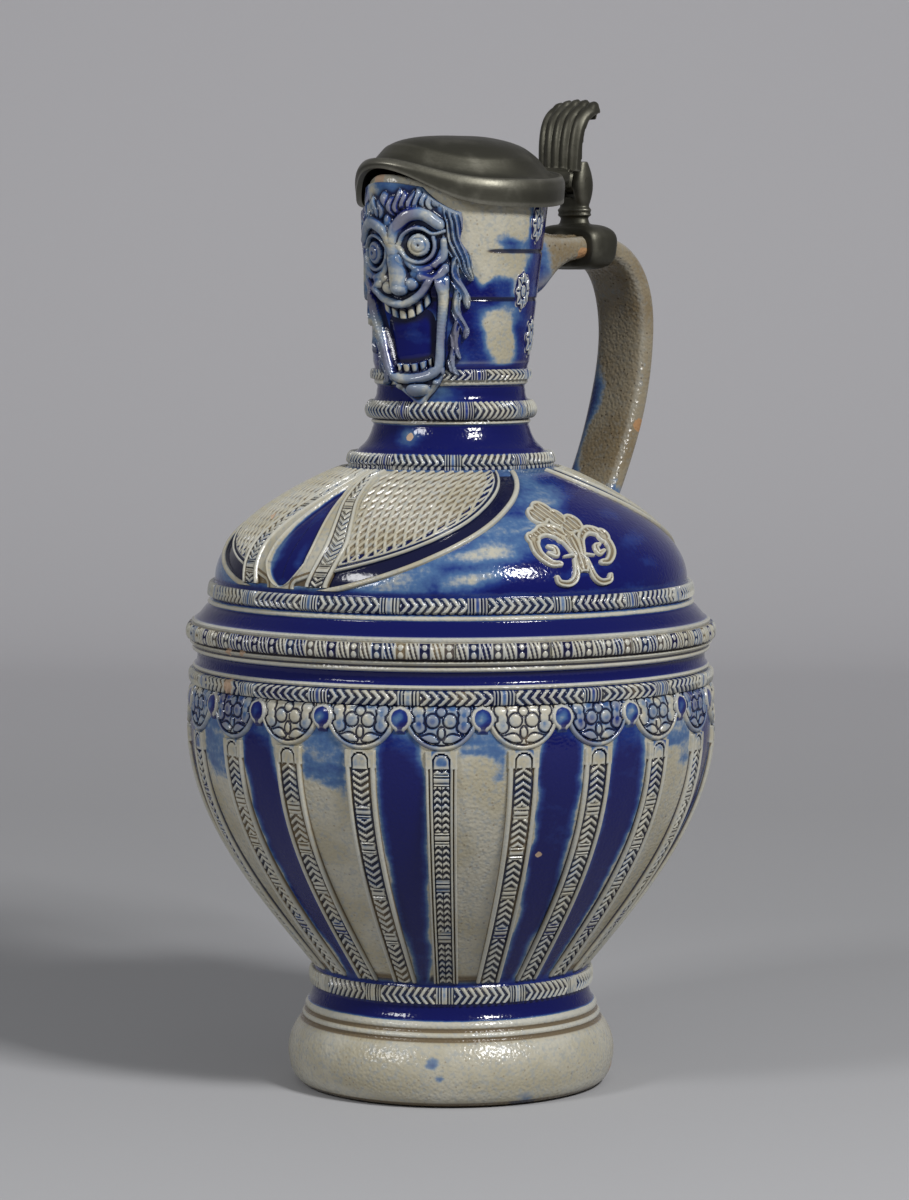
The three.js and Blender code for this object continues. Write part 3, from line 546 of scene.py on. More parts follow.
@dataclass(frozen=True)
class SaltGlaze:
    """Grey stoneware under a salt glaze, with cobalt blue that pools in the hollows of the relief, and
    painted shade that darkens those hollows.
    """

    name: str
    clay: Colour = (0.40, 0.377, 0.305)
    warm_clay: Colour = (0.35, 0.318, 0.23)
    cool_clay: Colour = (0.235, 0.265, 0.285)
    crest: Colour = (0.46, 0.465, 0.43)
    blues: tuple[tuple[float, Colour], ...] = ((0.30, (0.20, 0.265, 0.33)), (0.52, (0.055, 0.115, 0.24)),
                                               (0.74, (0.010, 0.026, 0.15)), (0.96, (0.003, 0.005, 0.085)))
    # Colours of the hollows: partly glaze and cobalt pooled there, partly painted shade.
    pool_and_shade_blue: Colour = (0.006, 0.007, 0.026)
    pool_and_shade_brown: Colour = (0.115, 0.082, 0.045)
    iron: Colour = (0.13, 0.075, 0.035)
    flake: Colour = (0.40, 0.285, 0.20)
    speckle: float = 0.45
    peel: float = 1.0
    chips: tuple[Chip, ...] = ()

    def material(self) -> Material:
        """Builds the material."""
        shader = Shader(self.name)
        relief = shader.value("relief")
        paint = shader.value("cobalt") + shader.value("copy_tone")
        cloud = shader.noise(21, 3)
        mottle = shader.noise(1.7, 3)
        smear = shader.noise(6, 5, shader.stretched(0.5, 1.5))
        grain = shader.noise(1.1, 3)
        hollow = shader.ease(0.01, -0.17, relief)
        crest = shader.ease(0.03, 0.22, relief)
        brushed = paint + (smear - 0.5) * 0.5 + (mottle - 0.5) * 0.22
        wash = shader.ease(0.26, 0.5, brushed)
        clay = shader.blend(shader.ease(0.4, 0.62, cloud), self.clay, self.warm_clay)
        clay = shader.blend(shader.ease(0.47, 0.68, mottle) * 0.5, clay, self.cool_clay)
        clay = shader.blend(self.dots(shader), clay, self.iron)
        blue = shader.wire("ShaderNodeValToRGB", {"stops": self.blues}, {0: brushed})
        colour = shader.blend(wash * (1 - crest * 0.78), clay, blue)
        colour = shader.blend(crest * 0.45, colour, self.crest)
        # Hollows darken towards these colours: painted shade on top of the glaze pooled there.
        line = shader.blend(shader.ease(0.03, 0.16, paint), self.pool_and_shade_brown, self.pool_and_shade_blue)
        colour = shader.blend(hollow * 0.93, colour, line)
        roughness = 0.12 + (1 - wash) * 0.1 + (grain - 0.5) * 0.14
        pits = Wire(shader, shader.cells(1.15, "SMOOTH_F1").outputs["Distance"])
        skin = (pits * 0.8 + grain * 0.35) * (1 - wash * 0.6)
        for chip in self.chips:
            bare = self.bare(shader, chip)
            colour = shader.blend(bare, colour, self.flake)
            roughness = roughness + bare * 0.55
        return shader.close({"Base Color": colour, "Roughness": roughness, "Specular IOR Level": 0.34,
                             "Normal": shader.bump(skin, 0.26 * self.peel)})

    def dots(self, shader: Shader) -> Wire:
        """Fine iron specks."""
        cells = shader.cells(1.7).outputs
        near = shader.ease(0.3, 0.12, Wire(shader, cells["Distance"]))
        drawn = shader.wire("ShaderNodeSeparateColor", {}, {0: cells["Color"]})
        return near * shader.ease(0.8 - 0.4 * self.speckle, 0.95, drawn) * self.speckle

    @staticmethod
    def bare(shader: Shader, chip: Chip) -> Wire:
        """1 inside a chip with a ragged edge."""
        ends = {0: shader.spot, 1: tuple(c * MM for c in chip.place)}
        away = shader.wire("ShaderNodeVectorMath", {"operation": "DISTANCE"}, ends, "Value")
        return shader.ease(1.0, 0.86, away * (1 / (chip.size * MM)) + (shader.noise(2.2, 3) - 0.5) * 0.9)


@dataclass(frozen=True)
class Pewter:
    """Old pewter: a dark skin, worn paler on its edges, with fine scratches."""

    name: str
    skin: Colour = (0.070, 0.067, 0.052)
    worn: Colour = (0.24, 0.23, 0.19)
    roughness: float = 0.47

    def material(self) -> Material:
        """Builds the material."""
        shader = Shader(self.name)
        cloud = shader.noise(9, 4)
        grain = shader.noise(0.8, 3)
        scratch = shader.noise(1.4, 2, shader.stretched(0.25, 2.5))
        rubbed = shader.ease(0.12, 0.45, shader.value("relief"))
        worn = (rubbed * 0.7 + shader.ease(0.5, 0.8, cloud) * 0.3) * (0.6 + grain * 0.6)
        colour = shader.blend(worn, self.skin, self.worn)
        roughness = self.roughness + (cloud - 0.5) * 0.25 + (grain - 0.5) * 0.12 - rubbed * 0.08
        skin = grain * 0.6 + scratch * 0.4
        return shader.close({"Base Color": colour, "Metallic": 0.85, "Roughness": roughness,
                             "Normal": shader.bump(skin, 0.05)})


# The vessel's turned outline, which all that is luted on follows

FOOT_OUTLINE: Rows = [
    (0, 54), (0.9, 55.6), (3.4, 57.6), (7.4, 58.9), (11.4, 59.4), (15.7, 58.9), (19.4, 57.5),
    (22, 55.9), (23.4, 54.6), (24, 53.8), (24.6, 54.2), (25.4, 54.3), (26.2, 53.7), (26.8, 52.9),
    (27.6, 53), (28.6, 53.2), (29.6, 52.7), (30.4, 51.8), (32.2, 50.8), (34, 50.3), (35.4, 50),
    (36.2, 50.2), (39, 50.5), (41.4, 50.2), (42.4, 49.6), (43.5, 49.2),
]
GIRDLE_OUTLINE: Rows = [
    (131, 94.6), (138, 94.4), (145.2, 93.3), (146, 92.8), (147, 93.4), (149, 93.8), (150.8, 93.5),
    (151.6, 92.7), (152.2, 93.5), (152.9, 93.3), (153.7, 92.4), (155.2, 91.9), (156.8, 91.9),
    (157.6, 92.2), (158.2, 93.4), (158.9, 93.8), (159.6, 93.2), (160.2, 93.5), (161, 94.5),
    (161.8, 93.6), (162.6, 94.3), (165.2, 94.9), (167.5, 94), (168.2, 93.5), (168.8, 94), (169.5, 92.9),
    (170.2, 91.8), (171.6, 90.5), (173.4, 89), (174.8, 87.8), (175.4, 88.1), (176.1, 87.7),
    (176.7, 86.6), (177.6, 86.8), (180, 86.7), (182.2, 86), (182.9, 85.3), (183.5, 85.4),
]
COLLAR_OUTLINE: Rows = [
    (223.2, 38.6), (223.9, 37), (226.4, 36.6), (228.7, 35.4), (229.3, 34.2), (230.4, 33.2), (232.5, 31),
    (235.5, 29.2), (237.9, 28.4), (239.4, 28.1), (240, 28.8), (240.7, 28.6), (241.3, 28.3),
    (242.6, 29.4), (244.4, 30), (246.3, 29.2), (247.6, 28.2), (248.4, 27.5), (249.5, 27), (251.3, 26.8),
    (253.4, 26.9), (254, 27.7), (254.8, 27.6), (255.4, 27.9), (257.2, 28.1), (258.8, 27.8),
    (259.6, 27.5), (260.4, 28),
]
FOOT_TOP, BELLY_TOP, GIRDLE_TOP, SHOULDER_TOP, COLLAR_TOP = 43.5, 131.0, 183.5, 223.2, 260.4
NECK_Z, RIM_Z, NECK_HEIGHT = 260.0, 322.0, 62.0
HINGE_Y, HINGE_Z = 66.0, 327.0


def radius_at(z: Array) -> Array:
    """Outer radius of the turned vessel at a height."""
    z = np.asarray(z, float)
    belly = 49.2 + 45.4 * np.sin(np.clip((z - FOOT_TOP) / 87.55, 0, 1) * math.pi / 2)
    shoulder = 37.8 + 47.6 * np.cos(np.clip((z - GIRDLE_TOP) / 40, 0, 1) * math.pi / 2) ** 0.82
    neck = 28 + 6.2 * np.clip((z - NECK_Z) / NECK_HEIGHT, 0, 1)
    below = [z < top for top in (FOOT_TOP, BELLY_TOP, GIRDLE_TOP, SHOULDER_TOP, COLLAR_TOP)]
    return np.select(below, [through(FOOT_OUTLINE, z), belly, through(GIRDLE_OUTLINE, z), shoulder,
                             through(COLLAR_OUTLINE, z)], neck)


def mouth_at(angle: Array, z: Array) -> Array:
    """How far the spout draws the neck out or in."""
    share = np.clip((z - NECK_Z) / NECK_HEIGHT, 0, 1)
    around = wrap(angle)
    spout = 3.4 * share * bell(around, 0.3)
    return share * (spout - 2.6 * bell(np.abs(around) - 0.85, 0.5) - 1.8 * np.cos(around))


def saddle(angle: Array, front: float | Array, side: float | Array, rear: float | Array) -> Array:
    """A height round the mouth that differs at its front, sides and rear."""
    around = wrap(angle)
    return side + (front - side) * bell(around, 0.6) + (rear - side) * np.maximum(0, -np.cos(around)) ** 2


def rim_lift(angle: Array, z: Array | float) -> Array:
    """How far the wave of the rim raises what lies at a height close under it."""
    return np.clip((z - RIM_Z + 14) / 14, 0, 1) ** 2 * saddle(angle, 5.6, 0, 1.6)


def on_vessel(angle: Array, z: Array, out: Array | float, broad: float = 0.5) -> Array:
    """Points over the vessel's surface.

    Args:
        angle: Angles round the vessel.
        z: Heights on its outline.
        out: Distances from the surface, square to it.
        broad: Height over which the outline's slope is read.

    Returns:
        The points.
    """
    slope = np.arctan2(radius_at(z - broad) - radius_at(z + broad), 2 * broad)
    reach = radius_at(z) + mouth_at(angle, z) + out * np.cos(slope)
    up = z + out * np.sin(slope) + rim_lift(angle, z)
    return np.stack([reach * np.sin(angle), -reach * np.cos(angle), up], -1)


def high_pass(height: Array, reach: float) -> Array:
    """How far each place of a relief stands over what is round it."""
    return height - soften(soften(height, reach, 0), reach, 1)


def lay_relief(name: str, angle: Array, z: Array, out: Array, relief: Array, cobalt: Array,
               broad: float = 0.5, behind: float = -1.6, folds: int = 0,
               bed: Array | float = 0.0) -> Piece:
    """Makes a closed relief over the vessel, with its border sunk and a plainer back behind it.

    Args:
        name: The object's name.
        angle: Angles of the grid's points round the vessel.
        z: Their heights.
        out: Their distances from the surface, row by row.
        relief: How far each point counts as a crest, or below 0 as a hollow, which the glaze darkens with
            painted shade.
        cobalt: How much blue lies on each point.
        broad: Height over which the vessel's slope is read.
        behind: Distance of the back and of the sunk border.
        folds: Number of columns of the back between its two sides.
        bed: Thickness of what lies between the surface and the relief.

    Returns:
        The object.
    """
    out = out.copy()
    out[0] = out[-1] = out[:, 0] = out[:, -1] = behind
    front = on_vessel(angle, z, out + bed, broad)
    rows, columns = out.shape
    picked = np.linspace(0, columns - 1, folds + 2).astype(int)[1:-1]
    back = on_vessel(angle, z, behind + bed + 0 * out, broad)[:, picked]
    index = np.arange(rows * columns).reshape(rows, columns)
    deep = rows * columns + np.arange(rows * folds).reshape(rows, folds)
    points = np.vstack([front.reshape(-1, 3), back.reshape(-1, 3)])
    around = np.hstack([index[:, -1:], deep[:, ::-1], index[:, :1]])
    foot = np.concatenate([index[0, ::-1], deep[0]])[None]
    head = np.concatenate([index[-1], deep[-1, ::-1]])[None]
    plain = np.zeros(deep.size)
    values = {"relief": np.append(relief, plain), "cobalt": np.append(cobalt, plain)}
    return lay_mesh(name, points, [quads(index), quads(around), foot, head], values)


@dataclass
class Panels:
    """The belly's strips and the panels between them."""

    count: int = 21
    strip_phase: float = 42 * DEGREE

    @property
    def step(self) -> float:
        """Angle from one strip to the next."""
        return FULL_TURN / self.count

    def number(self, angle: Array) -> Array:
        """Number of the panel at an angle, from -10 to 10."""
        turn = np.round((wrap(angle) - self.strip_phase) / self.step + 0.5)
        return (turn + 10) % self.count - 10

    def across(self, angle: Array) -> Array:
        """-1 to 1 from the middle of one strip to the next."""
        turn = (wrap(angle) - self.strip_phase) / self.step + 0.5
        return 2 * (turn - np.round(turn))

    def blue(self, angle: Array) -> Array:
        """1 on a blue panel, 0 on a grey one."""
        number = self.number(angle)
        even = number % 2 == 0
        return np.where(number <= 2, even, ~even).astype(float)


@dataclass
class Vessel:
    """The thrown vessel, from its foot to its lip, with its hollow."""

    panels: Panels
    columns: int = 252
    wall: float = 5.5
    floor: float = 11.0
    lip_radius: float = 34.2
    flute_depth: float = 1.1
    lower_line: float = 284.0
    upper_line: float = 301.0

    # Stretches of the outer rows: where each starts and ends, and how far apart its rows lie
    STRETCHES: ClassVar[Rows] = [
        (0.7, 22, 1.5), (22.5, 43.5, 0.6), (45, 128, 2.1), (129, 145, 1.5), (145.5, 184, 0.5),
        (185, 222.5, 1.25), (223, 260.4, 0.55), (261.5, 282, 1.7), (282.8, 285.4, 0.4), (287, 299, 1.7),
        (299.8, 302.4, 0.4), (304, 321, 1.5),
    ]
    # The blue of the mouldings at each height
    BANDS: ClassVar[Rows] = [
        (0, 0), (28.6, 0), (29.9, 0.05), (30.6, 1.1), (35.2, 1.1), (36, 0.7), (43, 0.8), (44, 0),
        (145, 0.5), (147, 0.9), (151.5, 0.9), (151.9, 0.1), (153, 0.1), (153.6, 1.2), (157.6, 1.2),
        (158.2, 0.15), (169.2, 0.1), (170, 1.1), (174.5, 1.05), (175.2, 0.1), (176.2, 0.1),
        (176.8, 0.9), (182.6, 0.9), (183.2, 0.8), (222.5, 0.8), (223, 0.5), (229, 0.6), (229.8, 1.1),
        (239.2, 1.1), (239.9, 0.1), (240.9, 0.1), (241.4, 0.6), (247.4, 0.6), (248.2, 1.1),
        (253.3, 1.1), (253.9, 0.15), (255, 0.3), (259.2, 1), (261, 1),
    ]
    # Drips and bare spots: angle, height, radius of the vessel, size, and blue added or taken away
    SPOTS: ClassVar[Rows] = [
        (37, 16, 58, 3.6, 0.62), (40, 11, 58, 2.4, 0.5), (71, 3, 58, 4.5, 0.5),
        (14, 235.4, 30, 6, -0.66), (34, 251, 30, 9, -0.5),
    ]
    # The hollow from the mouth down: radius and height
    HOLLOW: ClassVar[Rows] = [
        (28.7, 318), (27.2, 300), (24.4, 280), (22.6, 262), (23, 240), (26.5, 226), (40, 219),
        (62, 208), (76, 192), (85, 172), (88.4, 150), (88.2, 131), (85.8, 115), (79, 95), (66, 72),
        (52, 52), (44, 38), (37, 24), (30, 14.5), (18, 11.3),
    ]

    def heights(self) -> Array:
        """Heights of the outer rows, closer together in the mouldings and at the neck's incised lines."""
        return np.concatenate([np.arange(*stretch) for stretch in self.STRETCHES])

    def cobalt(self, angle: Array, z: Array) -> Array:
        """How much blue was brushed on.

        Args:
            angle: Angles round the vessel.
            z: Heights on its outline.

        Returns:
            The blue at each place, about 0 to 1.
        """
        value = np.interp(z, *np.array(self.BANDS).T)
        away = np.abs(wrap(angle)) / DEGREE
        along = angle * 60
        value = np.where((z > 44) & (z < 146), self.belly_paint(angle, z), value)
        deep = ease(8, -14, away - 64 - (z - 193) * 1.2)
        field = 1.0 - 0.47 * deep + 0.13 * ripple(along * 0.4, z * 1.5, 11, 5)
        value = np.where((z > 183.6) & (z < 222.8), field, value)
        blotch = bell(np.hypot((away - 82) / 17, (z - 271) / 10.5), 1.0)
        upper = ease(287, 295, z + 2.5 * ripple(along, z, 16, 13)) * ease(112, 92, away)
        neck = 0.95 - 0.9 * np.clip(blotch * 1.3, 0, 1) - 0.88 * upper
        neck = neck + 0.22 * ripple(along * 0.6, z, 14, 11) + 0.3 * bell(z - 303, 3) * (away > 60)
        value = np.where(z > 260.6, neck, value)
        for turn, height, reach, size, strength in self.SPOTS:
            spot = np.hypot((wrap(angle) - turn * DEGREE) * reach, (z - height) * 1.3)
            value = value + strength * bell(spot, size)
        return value

    def belly_paint(self, angle: Array, z: Array) -> Array:
        """Blue of the belly: deep panels between grey ones, which have a watery patch at their top."""
        panels, along = self.panels, angle * 60
        across = panels.across(angle)
        half_step = radius_at(z) * panels.step / 2
        strip = mix(4.5, 5.8, np.clip((z - 43) / 88, 0, 1))
        gap = (1 - np.abs(across)) * half_step - strip
        rough = 0.8 * ripple(along, z, 11, 17)
        deep = np.minimum(0.42 + 0.26 * (gap - 0.1 + 0.8 * rough), 1.05)
        deep = deep + 0.14 * ripple(along, z, 24, 3) - 0.4 * ease(127, 141, z + 6 * across)
        low = 122 + 7 * np.sin(panels.number(angle) * 2.3) - 5 * across + 2.5 * ripple(along, z, 12, 8)
        patch = 0.36 + 0.13 * np.minimum((z - low) * 0.6, gap + 0.2 + rough)
        return np.maximum(np.where(panels.blue(angle) > 0.5, deep, np.minimum(patch, 0.5)), -0.15)

    def incised(self, angle: Array, z: Array, half: float) -> Array:
        """Depth of the two lines cut round the neck; the upper one shows only away from the mask."""
        side = ease(66, 76, np.abs(wrap(angle)) / DEGREE)
        return 0.4 * side * bell(z - self.upper_line, half) + 0.4 * bell(z - self.lower_line, half)

    def build(self, glaze: Material, from_flute: Callable[[Array, Array], Array]) -> None:
        """Builds the vessel.

        Args:
            glaze: Its material.
            from_flute: Distance from the curved flute round a shoulder field, below 0 inside it.
        """
        heights = self.heights()
        a, z = np.meshgrid(self.panels.strip_phase + full_round(self.columns), heights)
        across = self.panels.across(a)
        depth = np.sin(math.pi * np.clip((z - FOOT_TOP) / 88, 0, 1)) * self.flute_depth
        height = -depth * np.clip(1 - (across / 0.72) ** 4, 0, 1) - self.incised(a, z, 0.45)
        on_shoulder = (heights > 186) & (heights < 222)
        folded = np.arcsin(np.abs(np.sin(a[on_shoulder])))
        height[on_shoulder] -= 1.9 * ease(3.9, 2.2, from_flute(folded, z[on_shoulder]))
        outer = on_vessel(a, z, height)
        turned = radius_at(heights)
        share = bell(heights - heights[:, None], 2.2) * np.gradient(heights) + 1 / FAR
        fine = turned - share @ turned / share.sum(1)
        slope = np.cos(np.arctan2(np.gradient(turned, heights), 1))
        blue = self.cobalt(a, z)
        # Coves of the mouldings and the incised lines count as hollows, which the glaze darkens with
        # painted shade.
        relief = np.where((z > 46) & (z < 128) | (z > 186) & (z < 221), 0, (fine * slope)[:, None])
        relief = np.maximum(relief, np.where(blue > 0.35, -0.045, -1))
        relief = relief - self.incised(a, z, 0.6)
        base, lip, inner = self.base_rows(a[0]), self.lip_rows(a[0]), self.inner_rows(a[0])
        pad = ((len(base), len(lip) + len(inner)), (0, 0))
        values = {"relief": np.pad(relief, pad), "cobalt": np.pad(blue, pad)}
        edge = len(base) + len(outer)
        values["cobalt"][edge:edge + len(lip)] = 0.15
        rings = np.concatenate([base, outer, lip, inner])
        piece = lay_skin("vessel", rings, [(0, 0, 0), (0, 0, self.floor)], values)
        finish_piece(piece, Body.JUG, glaze, ["jug_body", "jug_neck"])

    def base_rows(self, angle: Array) -> Array:
        """The flat base's rings."""
        return np.stack([self.ring(angle, radius, 0.0) for radius in (30.0, 53.2)])

    def lip_rows(self, angle: Array) -> Array:
        """The rounded lip."""
        half = self.wall / 2
        return np.stack([self.ring(angle, self.lip_radius - half + half * math.cos(turn),
                                   RIM_Z - 1.4 + 2 * math.sin(turn))
                         for turn in np.linspace(0.2, 0.95, 7) * math.pi])

    def ring(self, angle: Array, radius: float, z: float) -> Array:
        """A ring of the base, the mouth or the hollow."""
        reach = radius + mouth_at(angle, np.full_like(angle, z))
        return np.stack([reach * np.sin(angle), -reach * np.cos(angle), z + rim_lift(angle, z)], -1)

    def inner_rows(self, angle: Array) -> Array:
        """The hollow, from the mouth down to the floor."""
        knots = np.linspace(0, 1, len(self.HOLLOW))
        outline = through_each(knots, np.array(self.HOLLOW).T, np.linspace(0, 1, 36))
        return np.stack([self.ring(angle, radius, z) for radius, z in zip(*outline)])


# Stamped relief: tiles that Geometry Nodes repeat round the vessel


class RingTree(NodeMaker):
    """A Geometry Nodes tree that sets stamped tiles round the vessel's axis."""

    INPUTS: ClassVar[Sequence[tuple]] = [
        ("Stamps", "NodeSocketCollection"), ("Count", "NodeSocketInt"), ("Start", "NodeSocketFloat"),
        ("Step", "NodeSocketFloat"), ("Kinds", "NodeSocketInt"), ("Special", "NodeSocketInt"),
        ("Tone", "NodeSocketFloat"), ("Seed", "NodeSocketInt"), ("Finish", "NodeSocketMaterial"),
    ]

    def __init__(self) -> None:
        """Builds the tree."""
        self.tree = bpy.data.node_groups.new("ring_of_stamps", "GeometryNodeTree")
        face = self.tree.interface
        face.new_socket("Geometry", in_out="INPUT", socket_type="NodeSocketGeometry")
        face.new_socket("Geometry", in_out="OUTPUT", socket_type="NodeSocketGeometry")
        self.sockets = {name: face.new_socket(name, in_out="INPUT", socket_type=kind).identifier
                        for name, kind in self.INPUTS}
        inputs = self.node("NodeGroupInput", {}, {}).outputs
        given = {socket.name: Wire(self, socket) for socket in inputs}
        index = self.wire("GeometryNodeInputIndex", {}, {})
        turned = self.wire("ShaderNodeMath", {"operation": "MULTIPLY_ADD"},
                           {0: index, 1: given["Step"], 2: given["Start"]})
        euler = self.wire("ShaderNodeCombineXYZ", {}, {"Z": turned})
        rotation = self.wire("FunctionNodeEulerToRotation", {}, {0: euler})
        points = self.wire("GeometryNodePoints", {}, {"Count": given["Count"]})
        stamps = self.wire("GeometryNodeCollectionInfo", {},
                           {"Collection": given["Stamps"], "Separate Children": True,
                            "Reset Children": True})
        drawn = self.wire("FunctionNodeRandomValue", {"data_type": "INT"},
                          {"Min": 0, "Max": given["Kinds"] - 1.0, "ID": index, "Seed": given["Seed"]}, 2)
        special = self.wire("FunctionNodeCompare", {"data_type": "INT", "operation": "EQUAL"},
                            {2: index, 3: given["Special"]})
        pick = self.wire("GeometryNodeSwitch", {"input_type": "INT"},
                         {0: special, 1: drawn, 2: given["Kinds"]})
        placed = self.wire("GeometryNodeInstanceOnPoints", {},
                           {"Points": points, "Instance": stamps, "Pick Instance": True,
                            "Instance Index": pick, "Rotation": rotation})
        tone = self.wire("FunctionNodeRandomValue", {"data_type": "FLOAT"},
                         {2: given["Tone"] * -1.0, 3: given["Tone"], "ID": index,
                          "Seed": given["Seed"]}, 1)
        marked = self.wire("GeometryNodeStoreNamedAttribute",
                           {"data_type": "FLOAT", "domain": "INSTANCE"},
                           {"Geometry": placed, "Name": "copy_tone", "Value": tone})
        whole = self.wire("GeometryNodeRealizeInstances", {}, {"Geometry": marked})
        dressed = self.wire("GeometryNodeSetMaterial", {},
                            {"Geometry": whole, "Material": given["Finish"]})
        self.node("NodeGroupOutput", {}, {0: dressed})

    def run(self, name: str, stamps: Sequence[Piece], inputs: dict) -> Piece:
        """Sets stamps round the axis.

        Args:
            name: The new piece's name.
            stamps: The tiles, of which the last is kept for the special place.
            inputs: Values of the tree's inputs, by name.

        Returns:
            The piece, a plain mesh.
        """
        tray = bpy.data.collections.new(name + "_stamps")
        for number, stamp in enumerate(stamps):
            stamp.name = f"{name}_{number}"
            tray.objects.link(stamp)
            bpy.context.scene.collection.objects.unlink(stamp)
        piece = add_object(name, bpy.data.meshes.new(name))
        ring = piece.modifiers.new("ring", "NODES")
        ring.node_group = self.tree
        usual = {"Stamps": tray, "Kinds": len(stamps), "Special": -1, "Tone": 0.0, "Seed": 1,
                 "Start": 0.0}
        for label, value in {**usual, **inputs}.items():
            ring[self.sockets[label]] = value
        settle(piece)
        for stamp in stamps:
            bpy.data.objects.remove(stamp)
        bpy.data.collections.remove(tray)
        return piece


def stroke(phase: Array, pitch: float, share: float = 0.0) -> Array:
    """1 on the raised strokes of a row, 0 in the gaps between them."""
    return ease(-0.45, 0.45, np.cos(FULL_TURN * phase / pitch) + share)


def ring_tile(name: str, angle: float, low: float, high: float, cells: tuple[int, int],
              relief: Callable[[Array, Array], tuple[Array, Array]], rise: float) -> Piece:
    """A tile of a stamped ring, with its border sunk into the vessel.

    Args:
        name: The tile's name.
        angle: Angle that it spans.
        low: Height of its lower edge.
        high: Height of its upper edge.
        cells: Its columns and rows.
        relief: Gives relief (0 to 1) and blue at a distance along it and a share of its height, -1 to 1.
        rise: Height of the relief.

    Returns:
        The tile.
    """
    mean = float(radius_at((low + high) / 2))
    a = np.linspace(-angle / 2, angle / 2, cells[0] + 1)
    share = np.linspace(-1, 1, cells[1] + 1)
    a, share = np.meshgrid(a, share)
    height, blue = relief(a * mean, share)
    out = 0.35 + 0.25 * roll(share, 1.0) + rise * height
    z = (low + high) / 2 + share * (high - low) / 2
    return lay_relief(name, a, z, out, high_pass(out, cells[1] / 7) * 1.6, blue, 1.4, -0.6)


def cross_bars(arrow: Array, along: Array, side: Array, starts: Sequence[float], outer: float,
               spread: float, half: float) -> Array:
    """Breaks a row of chevrons with bars across it, each between four thin lines.

    Args:
        arrow: The chevrons' relief.
        along: Distance along the row.
        side: Distance from its middle.
        starts: Middles of the bars.
        outer: Distance of the outer lines from a bar's middle.
        spread: Width of the outer lines.
        half: Half the row's width, like side.

    Returns:
        The relief with its bars.
    """
    for start in starts:
        near = np.abs(along - start)
        lines = np.maximum(bell(near - outer, spread), bell(near - 1.4, 0.3))
        bar = np.maximum(lines, 0.8 * (near < spread + 0.4))
        arrow = np.where((near < outer + 0.5) & (side < half), bar, arrow)
    return arrow


@dataclass
class Mouldings:
    """The stamped rings of chevrons and beads, rolled into the vessel's mouldings."""

    tree: RingTree
    seed: int = 7

    def chevrons(self, length: float, draw: int, along: Array, share: Array) -> tuple[Array, Array]:
        """Chevrons in a group beside a plain block between upright lines.

        Args:
            length: Length of the unit.
            draw: Number that varies the unit.
            along: Distance along it from its middle.
            share: Share of its height, from -1 to 1.

        Returns:
            The relief and the blue.
        """
        block = length * 0.24
        pitch = (length - block) / 8
        place = along + length / 2
        arrow = stroke(place + np.abs(share) * pitch * (0.85 if draw % 3 else -0.85), pitch, -0.1)
        arrow = arrow * ease(1.0, 0.9, np.abs(share))
        in_block = place > length - block
        from_middle = np.abs(place - (length - block / 2))
        lines = np.maximum(bell(from_middle - block * 0.42, 0.34), bell(from_middle - block * 0.27, 0.3))
        plain = np.where(from_middle < block * 0.16, 0.8, lines)
        height = np.where(in_block, plain, arrow)
        wave = ripple(along, share * 3, 17, 40 + draw)
        tint = 0.38 + 0.04 * max(0, draw - 3)
        return height, np.where(in_block, 0.1, 0.0) + tint + 0.24 * wave

    def beads(self, length: float, draw: int, along: Array, share: Array) -> tuple[Array, Array]:
        """Cells that are hatched in turn and hold two round dots, as relief and blue.

        Args:
            length: Length of the unit.
            draw: Number that varies the unit.
            along: Distance along it from its middle.
            share: Share of its height, from -1 to 1.

        Returns:
            The relief and the blue.
        """
        cell = length / 8
        place = along + length / 2
        number = np.floor(place / cell)
        inside = place - (number + 0.5) * cell
        divider = ease(cell / 2 - 0.5, cell / 2 - 0.15, np.abs(inside))
        hatch = stroke(inside + share * 0.9, cell / 2.6)
        dots = ease(1.05, 0.75, np.hypot(inside, (np.abs(share) - 0.42) * 2.7))
        height = np.where(number % 2 == 0, hatch * 0.9, dots)
        height = np.maximum(height * ease(1.0, 0.86, np.abs(share)), divider)
        height = np.maximum(height, ease(0.86, 0.95, np.abs(share)) * 0.9)
        shade = np.random.default_rng(self.seed + draw).uniform(-0.25, 0.75, 9)
        return height, 0.3 + shade[np.clip(number, 0, 8).astype(int)]

    def build(self, glaze: Material) -> None:
        """Builds the seven rings."""
        rings = [("foot_chevrons", 35.9, 42.1, 0.75, (112, 12), self.chevrons, 3, 12),
                 ("girdle_chevrons", 146.4, 151.6, 0.7, (104, 12), self.chevrons, 3, 18),
                 ("bead_ring", 162.2, 168.0, 0.48, (112, 16), self.beads, 4, 18),
                 ("shoulder_chevrons", 176.9, 182.7, 0.7, (104, 12), self.chevrons, 3, 18),
                 ("collar_chevrons", 223.7, 229.1, 0.7, (112, 12), self.chevrons, 3, 9),
                 ("lower_neck_chevrons", 241.2, 247.8, 0.6, (104, 12), self.chevrons, 3, 8),
                 ("upper_neck_chevrons", 255.2, 259.3, 0.5, (104, 10), self.chevrons, 3, 7)]
        for order, (name, low, high, rise, cells, pattern, kinds, units) in enumerate(rings):
            span = FULL_TURN / units
            length = span * float(radius_at((low + high) / 2))
            reliefs = [partial(pattern, length, draw + order) for draw in range(kinds)]
            tiles = [ring_tile(name, span, low, high, cells, relief, rise) for relief in reliefs]
            piece = self.tree.run(name, tiles, {"Count": units, "Step": span, "Start": order * 0.13,
                                                "Tone": 0.1, "Seed": order + 2, "Finish": glaze})
            finish_piece(piece, Body.JUG, glaze)


